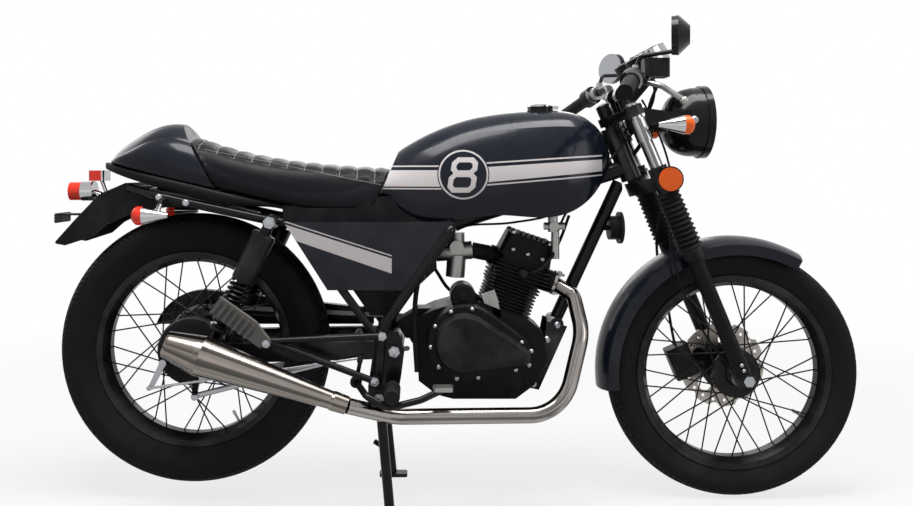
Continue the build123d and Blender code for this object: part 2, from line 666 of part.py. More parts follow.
REAR_INDICATOR_UP = 705.0
with BuildPart() as rear_indicators:
    bullet(-34, -92, -119, REAR_INDICATOR_UP)
    for side in (1, -1):
        bent_rod([P(-60, side * INDICATOR_HALF, REAR_INDICATOR_UP + 6), P(-54, side * 128, 738),
                  P(-52, side * 100, 744)], 6, [12])
    add(seat_rails.part, mode=Mode.SUBTRACT)
save(rear_indicators, "rear_indicators")

# Rear shocks: upper can, damper with a coil spring round it, an eye at each end
SHOCK_TOP = (205.0, 689.0)
SHOCK_FOOT = (68.0, 398.0)
SHOCK_HALF = 131.0
SPRING_TURNS = 9
with BuildPart() as rear_shocks:
    for side in (1, -1):
        top = P(SHOCK_TOP[0], side * SHOCK_HALF, SHOCK_TOP[1])
        foot = P(SHOCK_FOOT[0], side * SHOCK_HALF, SHOCK_FOOT[1])
        along = (foot - top).normalized()
        length = (foot - top).length
        rod(top + along * 10, foot - along * 8, 13)
        rod(top + along * 30, top + along * 150, 29)
        for number in range(SPRING_TURNS):
            rod(top + along * (156 + 13 * number), top + along * (163 + 13 * number), 26)
        rod(top + along * 272, top + along * 282, 27)
        with BuildSketch(side_plane(side * SHOCK_HALF + 12.5, *SHOCK_TOP)):
            Circle(16)
        extrude(amount=25)
        with BuildSketch(side_plane(side * SHOCK_HALF + 13.5, *SHOCK_FOOT)):
            Circle(15)
        extrude(amount=27)
    add(seat_rails.part, mode=Mode.SUBTRACT)
    add(swingarm.part, mode=Mode.SUBTRACT)
save(rear_shocks, "rear_shocks")

# Drive chain: a loop of plates round the two sprockets, its front end inside the engine's left cover
REAR_CHAIN_R = 88.5
FRONT_CHAIN_R = 38.0
FRONT_SPROCKET = (574, 392)
with BuildPart() as drive_chain:
    with BuildSketch(side_plane(CHAIN_LEFT + 7)):
        with Locations((0, REAR_AXLE_Z)):
            Circle(REAR_CHAIN_R + 6.5)
        with Locations(FRONT_SPROCKET):
            Circle(FRONT_CHAIN_R + 6.5)
        make_hull()
    extrude(amount=14)
    with BuildSketch(side_plane(CHAIN_LEFT + 8)):
        with Locations((0, REAR_AXLE_Z)):
            Circle(REAR_CHAIN_R - 6.5)
        with Locations(FRONT_SPROCKET):
            Circle(FRONT_CHAIN_R - 6.5)
        make_hull()
    extrude(amount=16, mode=Mode.SUBTRACT)
    add(engine_case.part, mode=Mode.SUBTRACT)
save(drive_chain, "drive_chain")

with BuildPart() as chain_guard:
    with BuildSketch(side_plane(66)):
        with Locations((0, REAR_AXLE_Z)):
            Circle(132)
        with Locations((430, 392)):
            Circle(62)
        make_hull()
    extrude(amount=-21.5)
    with BuildSketch(side_plane(65)):
        with Locations((0, REAR_AXLE_Z)):
            Circle(129.5)
        with Locations((430, 392)):
            Circle(59.5)
        make_hull()
    extrude(amount=-21, mode=Mode.SUBTRACT)
    with BuildSketch(side_plane(100)):
        with Locations((200, 260)):
            Rectangle(800, 300)
        with Locations((520, 440)):
            Rectangle(160, 160)
    extrude(amount=50, mode=Mode.SUBTRACT)
save(chain_guard, "chain_guard")

# Rear brake: fixed panel, its lever and rod, and the torque arm to the swingarm
BRAKE_CAM = (-54, 352)
ROD_REAR = (-85, 294)
ROD_FRONT = (418, 366)
ROD_LEFT = -114.0
with BuildPart() as rear_brake:
    turned(REAR_AXLE, [(AXLE_R, -57.5), (83, -57.5), (80, -66), (40, -72), (26, -86), (AXLE_R, -86)])
    with BuildSketch(side_plane(-64, *BRAKE_CAM)):
        Circle(9)
    extrude(amount=52)
    plate([(-62, 352), (-50, 358), (-46, 350), (-78, 290), (-90, 292)], -113, 5)
    with BuildSketch(side_plane(-105, *ROD_REAR)):
        Circle(6)
    extrude(amount=14)
    rod(P(ROD_REAR[0], ROD_LEFT - 4, ROD_REAR[1]), P(ROD_FRONT[0], ROD_LEFT - 4, ROD_FRONT[1]), 3)
    plate([(4, 262), (14, 254), (22, 292), (6, 300)], -68, 8)
    rod(P(14, -72, 264), P(322, -80, 345), 7)
    rod(P(14, -66, 264), P(14, -84, 264), 9)
    add(swingarm.part, mode=Mode.SUBTRACT)
save(rear_brake, "rear_brake")

# Foot controls: brake pedal on the right, gear pedal on the left
with BuildPart() as foot_controls:
    bent_rod([P(408, -130, 313), P(436, -184, 292), P(486, -192, 268), P(560, -184, 284), P(604, -178, 303)],
             8, [20, 40, 60])
    with BuildSketch(Plane(origin=P(612, -172, 303))):
        RectangleRounded(46, 34, 8)
    extrude(amount=10)
    rod(P(408, -124.5, 313), P(408, -136, 313), 14)
    rod(P(408, -128, 313), P(417, -128, 358), 5)
    rod(P(417, -134, 362), P(417, -112, 366), 7)
    bent_rod([P(590, 120, 330), P(590, 150, 330), P(660, 158, 322), P(668, 200, 322)], 7, [14, 14])
    rod(P(668, 168, 322), P(668, 212, 322), 11)
    add(rear_frame.part, mode=Mode.SUBTRACT)
    add(engine_case.part, mode=Mode.SUBTRACT)
    add(rear_brake.part, mode=Mode.SUBTRACT)
save(foot_controls, "foot_controls")

# Footrests: the rider's pair on the frame plates, the passenger's pair folded up on tube brackets
with BuildPart() as footrests:
    for side in (1, -1):
        rod(P(495, side * 124.2, 303), P(495, side * 146, 303), 11)
        rod(P(495, side * 146, 303), P(495, side * 240, 303), 17)
        rod(P(204, side * 147, 412), P(470, side * 147, 424), 8)
        rod(P(204, side * 147, 412), P(452, side * 147, 318), 8)
        rod(P(452, side * 124.2, 318), P(452, side * 152, 318), 12)
        rod(P(470, side * 124.2, 424), P(470, side * 152, 424), 12)
        rod(P(204, side * 140, 412), P(204, side * 172, 412), 9)
        with BuildSketch(side_plane(side * 171 + 8)):
            with BuildLine():
                Polyline((190, 402), (212, 420), (180, 462), (98, 520), (72, 484), (150, 430), close=True)
            make_face()
        extrude(amount=16)
    add(rear_frame.part, mode=Mode.SUBTRACT)
save(footrests, "footrests")

# Fuel tap under the tank
with BuildPart() as fuel_tap:
    rod(P(884, -60, 714), P(884, -60, 662), 12)
    rod(P(862, -60, 676), P(912, -60, 676), 9)
    rod(P(890, -60, 662), P(890, -60, 596), 10)
    with BuildSketch(side_plane(-66, 884, 676)):
        Circle(12)
    extrude(amount=16)
    add(fuel_tank.part, mode=Mode.SUBTRACT)
save(fuel_tap, "fuel_tap")

# Fork: stem with lower and upper yokes and the lamp ears, tubes, rubber boots and lower legs
FORK_TUBE_R = 15.5
FORK_LEG_R = 19.0
LOWER_YOKE = (-118.0, -84.0)
UPPER_YOKE = (68.0, 90.0)
BOOT = (-277.0, -130.0)
BOOT_RIBS = 12
LAMP_UP = 933.0
with BuildPart() as headlight:
    with BuildSketch(side_plane()):
        with BuildLine():
            Polyline((1168, LAMP_UP), (1170, LAMP_UP + 34))
            ThreePointArc((1170, LAMP_UP + 34), (1196, LAMP_UP + 72), (1240, LAMP_UP + 86))
            Polyline((1240, LAMP_UP + 86), (1258, LAMP_UP + 87), (1258, LAMP_UP + 91),
                     (1274, LAMP_UP + 91), (1276, LAMP_UP + 82))
            ThreePointArc((1276, LAMP_UP + 82), (1285, LAMP_UP + 44), (1288, LAMP_UP + 4))
            Polyline((1288, LAMP_UP + 4), (1288, LAMP_UP), (1168, LAMP_UP))
        make_face()
    revolve(axis=Axis(P(0, 0, LAMP_UP), (1, 0, 0)))
save(headlight, "headlight")


def yoke(low, high, clamp_low, clamp_high):
    """Triple clamp between two heights along the steering axis, with a taller clamp on each tube."""
    with BuildSketch(STEER.offset(low)) as web:
        Circle(22)
        for side in (1, -1):
            with Locations((FORK_AHEAD, side * FORK_HALF)):
                Circle(24)
        make_hull()
    extrude(web.sketch, amount=high - low)
    for side in (1, -1):
        rod(S(FORK_AHEAD, side * FORK_HALF, clamp_low), S(FORK_AHEAD, side * FORK_HALF, clamp_high), 23)


with BuildPart() as fork_yokes:
    rod(S(0, 0, LOWER_YOKE[0]), S(0, 0, UPPER_YOKE[1] + 8), STEM_R)
    yoke(*LOWER_YOKE, -128, -64)
    yoke(*UPPER_YOKE, UPPER_YOKE[0], UPPER_YOKE[1] + 4)
    rod(S(2, 0, UPPER_YOKE[1]), S(2, 0, UPPER_YOKE[1] + 30), 17)
    for side in (1, -1):
        rod(S(FORK_AHEAD, side * FORK_HALF, 4), S(FORK_AHEAD, side * FORK_HALF, 60), 20)
        plate([(1094, 962), (1206, 948), (1232, 934), (1206, 916), (1112, 908)], side * 98, 4)
        rod(P(1216, side * 80, 933), P(1216, side * 103, 933), 8)
    for side in (1, -1):
        with BuildSketch(Plane(origin=S(FORK_AHEAD, side * FORK_HALF, -140), z_dir=STEER.z_dir)):
            Circle(FORK_TUBE_R)
        extrude(amount=260, mode=Mode.SUBTRACT)
    add(headlight.part, mode=Mode.SUBTRACT)
save(fork_yokes, "fork_yokes")

with BuildPart() as fork_tubes:
    for side in (1, -1):
        rod(S(FORK_AHEAD, side * FORK_HALF, BOOT[0]), S(FORK_AHEAD, side * FORK_HALF, UPPER_YOKE[1] + 6),
            FORK_TUBE_R)
save(fork_tubes, "fork_tubes")

with BuildPart() as fork_boots:
    for side in (1, -1):
        centre = S(FORK_AHEAD, side * FORK_HALF, 0)
        rib = (BOOT[1] - BOOT[0]) / BOOT_RIBS
        ribs = []
        for number in range(BOOT_RIBS):
            ribs.append((24, BOOT[0] + number * rib + 0.5))
            ribs.append((31 - 0.2 * number, BOOT[0] + (number + 0.5) * rib))
        with BuildSketch(Plane(origin=centre, x_dir=STEER.x_dir, z_dir=-STEER.y_dir)):
            with BuildLine():
                Polyline((FORK_TUBE_R, BOOT[0] + 0.5), *ribs, (24, BOOT[1]), (FORK_TUBE_R, BOOT[1]), close=True)
            make_face()
        revolve(axis=Axis(centre, STEER.z_dir))
save(fork_boots, "fork_boots")

with BuildPart() as fork_lowers:
    for side in (1, -1):
        rod(S(FORK_AHEAD, side * FORK_HALF, AXLE_DOWN - 24), S(FORK_AHEAD, side * FORK_HALF, BOOT[0]), FORK_LEG_R)
        rod(S(FORK_AHEAD, side * FORK_HALF, BOOT[0] - 26), S(FORK_AHEAD, side * FORK_HALF, BOOT[0]), 23)
        rod(P(WHEELBASE, side * 76, FRONT_TYRE_R), P(WHEELBASE, side * 114, FRONT_TYRE_R), 20)
    rod(P(WHEELBASE, -130, FRONT_TYRE_R), P(WHEELBASE, 130, FRONT_TYRE_R), AXLE_R)
    with BuildSketch(side_plane(130, WHEELBASE, FRONT_TYRE_R)):
        Circle(AXLE_R)
    extrude(amount=260, mode=Mode.SUBTRACT)
save(fork_lowers, "fork_lowers")

# Handlebar with its clamps and grips
BAR_R = 11.0
GRIP_R = 17.0
BAR_SIDE = [(62, 1056, 998), (125, 1064, 1032), (205, 1042, 1022), (346, 988, 976)]


def bar_point(left):
    """Point of the handlebar's outer run at a left value, on either side."""
    inner, outer = BAR_SIDE[2], BAR_SIDE[3]
    share = (abs(left) - inner[0]) / (outer[0] - inner[0])
    return P(inner[1] + share * (outer[1] - inner[1]), left, inner[2] + share * (outer[2] - inner[2]))


with BuildPart() as handlebar:
    bent_rod([P(forward, -left, up) for left, forward, up in reversed(BAR_SIDE)]
             + [P(forward, left, up) for left, forward, up in BAR_SIDE], BAR_R, [60, 45, 45, 45, 45, 60])
    for side in (1, -1):
        rod(bar_point(side * 240), bar_point(side * 346), GRIP_R)
        rod(bar_point(side * 240), bar_point(side * 246), GRIP_R + 3)
        rod(S(45, side * 42, UPPER_YOKE[1]), S(46.5, side * 42, 127), 14)
        rod(P(1056, side * 30, 998), P(1056, side * 54, 998), 19)
    add(fork_yokes.part, mode=Mode.SUBTRACT)
save(handlebar, "handlebar")

# Switch housings, lever perches with the brake's reservoir, and the two levers
with BuildPart() as hand_controls:
    for side in (1, -1):
        rod(bar_point(side * 208), bar_point(side * 238.5), 25)
        rod(P(1049.5, side * 178, 1025), P(1044, side * 200, 1023), 18)
        rod(P(1052, side * 190, 1024), P(1078, side * 204, 1014), 11)
        bent_rod([P(1066, side * 196, 1016), P(1100, side * 234, 1000), P(1120, side * 326, 960)], 6.5, [30])
        with Locations(P(1120, side * 326, 960)):
            Sphere(9)
        rod(P(1050, side * 190, 1024), P(1054, side * 190, 1052), 9)
    with BuildSketch(Plane(origin=P(1096, -194, 1024))):
        RectangleRounded(56, 50, 8)
    extrude(amount=42)
    add(handlebar.part, mode=Mode.SUBTRACT)
save(hand_controls, "hand_controls")

# Mirrors on bent stems
MIRROR_TURN = 18.0
with BuildPart() as mirrors:
    for side in (1, -1):
        bent_rod([P(1054, side * 190, 1048), P(1062, side * 194, 1072), P(1142, side * 244, 1080),
                  P(1132, side * 282, 1098)], 5, [12, 22])
        facing = Vector(-cos(radians(MIRROR_TURN)), -side * sin(radians(MIRROR_TURN)), 0)
        centre = P(1104, side * 290, 1104)
        faces = []
        for depth, half_width, half_height in ((0, 60, 42), (14, 61, 43), (38, 30, 20)):
            with BuildSketch(Plane(origin=centre - facing * depth, x_dir=facing.cross(Vector(0, 0, 1)),
                                   z_dir=facing)) as oval:
                Ellipse(half_width, half_height)
            faces.append(oval.sketch)
        loft(faces, ruled=True)
    add(hand_controls.part, mode=Mode.SUBTRACT)
save(mirrors, "mirrors")

# Twin instruments on a bracket above the lamp
INSTRUMENT_TILT = 31.0
with BuildPart() as instruments:
    upright = Vector(-sin(radians(INSTRUMENT_TILT)), 0, cos(radians(INSTRUMENT_TILT)))
    for side in (1, -1):
        face = P(1111, side * 55, 1094)
        rod(face - upright * 46, face - upright * 34, 36)
        rod(face - upright * 36, face - upright * 4, 48)
        rod(face - upright * 18, face + upright * 7, 52)
    plate([(1062, 972), (1082, 966), (1150, 1046), (1140, 1060), (1100, 1040)], 0, 50)
    plate([(1118, 1044), (1146, 1052), (1138, 1066), (1110, 1054)], 0, 110)
    add(fork_yokes.part, mode=Mode.SUBTRACT)
    add(handlebar.part, mode=Mode.SUBTRACT)
save(instruments, "instruments")

with BuildPart() as front_indicators:
    bullet(1119, 1178, 1204, 919)
    for side in (1, -1):
        rod(P(1146, side * 132, 920), P(1146, side * 100, 926), 6)
    add(fork_yokes.part, mode=Mode.SUBTRACT)
save(front_indicators, "front_indicators")

# Front fender: a channel round the tyre from its rear tip to its front tip
FENDER_REAR = 187.0
FENDER_SWEEP = 126.0
with BuildPart() as front_fender:
    out = Vector(cos(radians(FENDER_REAR)), 0, sin(radians(FENDER_REAR)))
    with BuildSketch(Plane(origin=FRONT_AXLE, x_dir=out, z_dir=out.cross(Vector(0, 1, 0)))):
        with BuildLine():
            Line((294, -60), (320, -60))
            ThreePointArc((320, -60), (338, 0), (320, 60))
            Polyline((320, 60), (294, 60), (294, 57.5), (319, 57.5))
            ThreePointArc((319, 57.5), (335.5, 0), (319, -57.5))
            Polyline((319, -57.5), (294, -57.5), (294, -60))
        make_face()
    revolve(axis=Axis(FRONT_AXLE, (0, 1, 0)), revolution_arc=FENDER_SWEEP)
    for side in (1, -1):
        rod(S(FORK_AHEAD, side * 58.5, AXLE_DOWN + 300), S(FORK_AHEAD, side * 90, AXLE_DOWN + 300), 8)
    add(fork_lowers.part, mode=Mode.SUBTRACT)
save(front_fender, "front_fender")

# Front caliper behind the left leg, straddling the disc
with BuildPart() as brake_caliper:
    with BuildSketch(STEER.offset(AXLE_DOWN + 6)):
        with Locations((FORK_AHEAD - 92, 64)):
            RectangleRounded(60, 40, 8)
    extrude(amount=84)
    with BuildSketch(STEER.offset(AXLE_DOWN + 20)):
        with Locations((FORK_AHEAD - 44, 80)):
            Rectangle(60, 10)
    extrude(amount=56)
    with BuildSketch(side_plane(DISC_LEFT + 3.5, WHEELBASE, FRONT_TYRE_R)):
        Circle(114)
    extrude(amount=7, mode=Mode.SUBTRACT)
    add(fork_lowers.part, mode=Mode.SUBTRACT)
save(brake_caliper, "brake_caliper")

# Brake hose and speedometer cable, both held along the steering assembly
HOSE_R = 3.5
CABLE_R = 2.6
HOSE_ROUTE = [S(84, -206, 128), S(97, -170, 114), S(92, -128, 98), S(84, -86, 74), S(80, -46, 38),
              S(80, -10, -4), S(84, 26, -50), S(83, 44, -104), S(64, 49, -158), S(34, 53, -212),
              S(10, 66, -266), S(-4, 80, -324), S(-12, 84, -382), S(-22, 84, -440), S(-36, 78, -490),
              S(-44, 74, -528)]
CABLE_ROUTE = [S(94, -24, 96), S(96, -34, 48), S(95, -42, 0), S(92, -46, -48), S(84, -48, -98),
               S(66, -49, -144), S(42, -53, -190), S(16, -64, -236), S(0, -80, -286), S(-8, -86, -340),
               S(-10, -87, -396), S(-6, -86, -452), S(4, -82, -506), S(18, -74, -556), S(34, -66, -598)]


def bend_radii(points):
    """Radius for each corner of a route: 0.45 of the shorter run over the tangent of half the turn."""
    radii = []
    for before, corner, after in zip(points, points[1:], points[2:]):
        turn = radians((corner - before).get_angle(after - corner))
        shorter = min((corner - before).length, (after - corner).length)
        radii.append(0.45 * shorter * cos(turn / 2) / sin(turn / 2))
    return radii


with BuildPart() as brake_hose:
    bent_rod(HOSE_ROUTE, HOSE_R, bend_radii(HOSE_ROUTE))
    add(hand_controls.part, mode=Mode.SUBTRACT)
    add(brake_caliper.part, mode=Mode.SUBTRACT)
save(brake_hose, "brake_hose")

with BuildPart() as speedometer_cable:
    bent_rod(CABLE_ROUTE, CABLE_R, bend_radii(CABLE_ROUTE))
    add(instruments.part, mode=Mode.SUBTRACT)
    add(front_axle.part, mode=Mode.SUBTRACT)
save(speedometer_cable, "speedometer_cable")

# Horn on the front of the down tube
with BuildPart() as horn:
    rod(P(1006, 0, 668), P(1036, 0, 668), 7)
    rod(P(1034, 0, 668), P(1062, 0, 668), 30)
    rod(P(1058, 0, 668), P(1066, 0, 668), 40)
    add(down_tube.part, mode=Mode.SUBTRACT)
save(horn, "horn")
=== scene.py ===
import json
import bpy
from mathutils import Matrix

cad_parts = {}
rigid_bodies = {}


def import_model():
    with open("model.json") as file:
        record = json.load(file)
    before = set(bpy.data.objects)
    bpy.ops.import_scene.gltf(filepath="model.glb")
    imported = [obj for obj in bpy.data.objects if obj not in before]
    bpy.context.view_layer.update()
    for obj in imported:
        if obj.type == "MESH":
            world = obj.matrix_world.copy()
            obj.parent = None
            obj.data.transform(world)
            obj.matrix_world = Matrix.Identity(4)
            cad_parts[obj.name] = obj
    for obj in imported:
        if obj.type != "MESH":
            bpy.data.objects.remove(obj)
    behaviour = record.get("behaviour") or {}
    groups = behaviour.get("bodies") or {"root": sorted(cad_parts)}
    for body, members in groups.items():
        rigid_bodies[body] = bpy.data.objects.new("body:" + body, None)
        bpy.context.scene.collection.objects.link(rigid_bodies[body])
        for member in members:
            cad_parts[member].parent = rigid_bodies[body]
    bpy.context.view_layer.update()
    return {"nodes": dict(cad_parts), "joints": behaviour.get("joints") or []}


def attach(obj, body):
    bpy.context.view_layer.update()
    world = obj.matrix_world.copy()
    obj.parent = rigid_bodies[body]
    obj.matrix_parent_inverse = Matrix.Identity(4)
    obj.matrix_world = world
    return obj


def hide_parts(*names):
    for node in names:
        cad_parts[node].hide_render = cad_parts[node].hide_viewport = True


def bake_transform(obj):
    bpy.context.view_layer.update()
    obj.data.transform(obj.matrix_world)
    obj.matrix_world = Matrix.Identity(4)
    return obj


bl_info = {
    "name": "Cafe racer motorcycle",
    "version": (1, 0, 0),
    "blender": (4, 5, 0),
    "location": "View3D > Sidebar > Motorcycle",
    "description": "Dresses the frame of a cafe racer motorcycle and lights it",
    "category": "Object",
}

from math import asin, atan2, cos, floor, hypot, pi, radians, sin, sqrt

import bmesh
import bpy
from mathutils import Vector
from mathutils.bvhtree import BVHTree

for leftover in list(bpy.data.objects):
    bpy.data.objects.remove(leftover)

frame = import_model()

# Places on the motorcycle are in millimetres, and the profiles of turned pieces in metres
MM = 0.001
JOINT_AT = {joint["name"]: Vector(joint["pos_m"]) for joint in frame["joints"]}
REAR_AXLE = JOINT_AT["rear_wheel"]
FRONT_AXLE = JOINT_AT["front_wheel"]
STEER_AT = JOINT_AT["steering"]
RAKE = radians(22.6)
STEER_AHEAD = Vector((cos(RAKE), 0, sin(RAKE)))
STEER_UP = Vector((-sin(RAKE), 0, cos(RAKE)))
FORWARD = Vector((1, 0, 0))
LEFT = Vector((0, 1, 0))
UP = Vector((0, 0, 1))
FORK_AHEAD = (FRONT_AXLE - STEER_AT).dot(STEER_AHEAD) / MM
AXLE_ALONG = (FRONT_AXLE - STEER_AT).dot(STEER_UP) / MM


def spot(forward, left, up):
    """Point in metres from millimetres; forward is measured from the rear axle."""
    return Vector((REAR_AXLE.x + forward * MM, left * MM, up * MM))


def fork_spot(ahead, left, along):
    """Point in the steering head's own frame, from millimetres."""
    return STEER_AT + (STEER_AHEAD * ahead + LEFT * left + STEER_UP * along) * MM


def local(point):
    """(forward, left, up) in millimetres of a point in metres."""
    return (point.x - REAR_AXLE.x) / MM, point.y / MM, point.z / MM


class MotorcycleLook(bpy.types.PropertyGroup):
    """Colours and sizes of the motorcycle's dressing."""

    paint: bpy.props.FloatVectorProperty(
        name="Paint", description="Colour of the tank, cowl, panels and front fender", subtype="COLOR",
        size=3, default=(0.004, 0.0055, 0.011))
    stripe: bpy.props.FloatVectorProperty(
        name="Stripe", description="Colour of the stripes and the numeral", subtype="COLOR",
        size=3, default=(0.46, 0.43, 0.43))
    black: bpy.props.FloatVectorProperty(
        name="Black", description="Colour of the frame, wheels and stand", subtype="COLOR",
        size=3, default=(0.005, 0.005, 0.006))
    amber: bpy.props.FloatVectorProperty(
        name="Amber", description="Colour of the indicator lenses and side reflectors", subtype="COLOR",
        size=3, default=(0.72, 0.105, 0.008))
    red: bpy.props.FloatVectorProperty(
        name="Red", description="Colour of the rear lenses", subtype="COLOR",
        size=3, default=(0.62, 0.03, 0.015))
    tread_depth: bpy.props.FloatProperty(
        name="Tread depth", description="Depth of the tyre grooves", default=0.0032, unit="LENGTH")
    roll_pitch: bpy.props.FloatProperty(
        name="Roll pitch", description="Length of one sewn roll of the seat", default=0.0425, unit="LENGTH")
    roll_depth: bpy.props.FloatProperty(
        name="Roll depth", description="Depth of the seams between the rolls", default=0.0075, unit="LENGTH")
    link_pitch: bpy.props.FloatProperty(
        name="Link pitch", description="Distance between two chain pins", default=0.0127, unit="LENGTH")
    key_light: bpy.props.FloatProperty(
        name="Key light", description="Power that each softbox takes its own share of", default=60.0,
        unit="POWER")


def look():
    """The colours and sizes that the scene holds."""
    return bpy.context.scene.motorcycle_look


# Shaders; LOOK marks the names of the scene's own materials

LOOK = "look_"
WHITE = (1, 1, 1, 1)
WORN_COLOR = (0.3, 0.3, 0.3, 1)
DUST_COLOR = (0.22, 0.2, 0.17, 1)
STAIN_COLOR = (0.2, 0.15, 0.11, 1)
# Dark colour of the painted reflection streaks on bare metal
REFLECTION_STREAK_COLOR = (0.015, 0.015, 0.015, 1)
GRAIN_HEIGHT = 0.0004
LINE_HEIGHT = 0.0002
LINE_STRENGTH = 0.12


def wire(tree, value, socket):
    """Feed a socket from another socket, or set it to a constant."""
    if isinstance(value, bpy.types.NodeSocket):
        tree.links.new(value, socket)
    else:
        socket.default_value = value


def calc(tree, operation, first, second=0.0):
    """Result of a math node on numbers or sockets."""
    node = tree.nodes.new("ShaderNodeMath")
    node.operation = operation
    wire(tree, first, node.inputs[0])
    wire(tree, second, node.inputs[1])
    return node.outputs[0]


def product(tree, first, *others):
    """All the values multiplied, one node after another."""
    for other in others:
        first = calc(tree, "MULTIPLY", first, other)
    return first


def square(tree, value):
    """The value times itself, from its size without its sign."""
    return calc(tree, "POWER", calc(tree, "ABSOLUTE", value), 2.0)


def blend_color(tree, share, first, second):
    """The first colour where share is 0, the second where it is 1."""
    node = tree.nodes.new("ShaderNodeMix")
    node.data_type = "RGBA"
    wire(tree, share, node.inputs["Factor"])
    wire(tree, first, node.inputs[6])
    wire(tree, second, node.inputs[7])
    return node.outputs[2]


def ramp(tree, value, low, high, to_low=0.0, to_high=1.0, clamp=True):
    """The value's place between low and high, as a number between to_low and to_high."""
    node = tree.nodes.new("ShaderNodeMapRange")
    node.clamp = clamp
    wire(tree, value, node.inputs["Value"])
    for label, number in (("From Min", low), ("From Max", high), ("To Min", to_low), ("To Max", to_high)):
        node.inputs[label].default_value = number
    return node.outputs["Result"]


def between(tree, value, low, high):
    """1 where value lies between low and high, which are numbers or sockets."""
    above = calc(tree, "GREATER_THAN", value, low)
    below = calc(tree, "LESS_THAN", value, high)
    return calc(tree, "MULTIPLY", above, below)


def noise(tree, scale, detail, vector):
    """Cloudy pattern of 0 to 1 over the vector."""
    node = tree.nodes.new("ShaderNodeTexNoise")
    wire(tree, scale, node.inputs["Scale"])
    node.inputs["Detail"].default_value = detail
    tree.links.new(vector, node.inputs["Vector"])
    return node.outputs["Fac"]


def new_group(name, inputs, outputs):
    """Node group with its sockets; returns it with its input and output nodes."""
    group = bpy.data.node_groups.new(name, "ShaderNodeTree")
    for label, kind, default in inputs:
        group.interface.new_socket(label, in_out="INPUT", socket_type=kind).default_value = default
    for label, kind in outputs:
        group.interface.new_socket(label, in_out="OUTPUT", socket_type=kind)
    return group, group.nodes.new("NodeGroupInput"), group.nodes.new("NodeGroupOutput")


def position(tree):
    """Sockets of forward, left and up in millimetres."""
    place = tree.nodes.new("ShaderNodeTexCoord").outputs["Object"]
    split = tree.nodes.new("ShaderNodeSeparateXYZ")
    tree.links.new(place, split.inputs[0])
    forward = calc(tree, "DIVIDE", calc(tree, "SUBTRACT", split.outputs[0], REAR_AXLE.x), MM)
    return forward, calc(tree, "DIVIDE", split.outputs[1], MM), calc(tree, "DIVIDE", split.outputs[2], MM)


def surface_group():
    """Grain, dust on what faces up, and worn edges, for any solid finish."""
    group, entry, out = new_group(
        "surface_detail",
        [("Color", "NodeSocketColor", (0.1, 0.1, 0.1, 1)), ("Roughness", "NodeSocketFloat", 0.4),
         ("Grain Scale", "NodeSocketFloat", 900.0), ("Grain Depth", "NodeSocketFloat", 0.1),
         ("Dust", "NodeSocketFloat", 0.1), ("Edge Wear", "NodeSocketFloat", 0.1)],
        [("Color", "NodeSocketColor"), ("Roughness", "NodeSocketFloat"), ("Normal", "NodeSocketVector")])
    place = group.nodes.new("ShaderNodeTexCoord").outputs["Object"]
    grain = noise(group, entry.outputs["Grain Scale"], 3.0, place)
    bump = group.nodes.new("ShaderNodeBump")
    bump.inputs["Distance"].default_value = GRAIN_HEIGHT
    wire(group, entry.outputs["Grain Depth"], bump.inputs["Strength"])
    wire(group, grain, bump.inputs["Height"])
    normal = group.nodes.new("ShaderNodeSeparateXYZ")
    geometry = group.nodes.new("ShaderNodeNewGeometry")
    wire(group, geometry.outputs["Normal"], normal.inputs[0])
    facing_up = ramp(group, normal.outputs[2], 0.1, 0.95)
    patches = ramp(group, noise(group, 14.0, 5.0, place), 0.38, 0.72)
    dust = product(group, facing_up, patches, entry.outputs["Dust"])
    dusty = blend_color(group, dust, entry.outputs["Color"], DUST_COLOR)
    edge = ramp(group, geometry.outputs["Pointiness"], 0.52, 0.62)
    worn = product(group, edge, patches, entry.outputs["Edge Wear"])
    wire(group, blend_color(group, worn, dusty, WORN_COLOR), out.inputs["Color"])
    smear = ramp(group, noise(group, 30.0, 4.0, place), 0.3, 0.7, -0.05, 0.07)
    rough = calc(group, "ADD", entry.outputs["Roughness"], smear)
    wire(group, calc(group, "ADD", rough, calc(group, "MULTIPLY", dust, 0.3)), out.inputs["Roughness"])
    wire(group, bump.outputs["Normal"], out.inputs["Normal"])


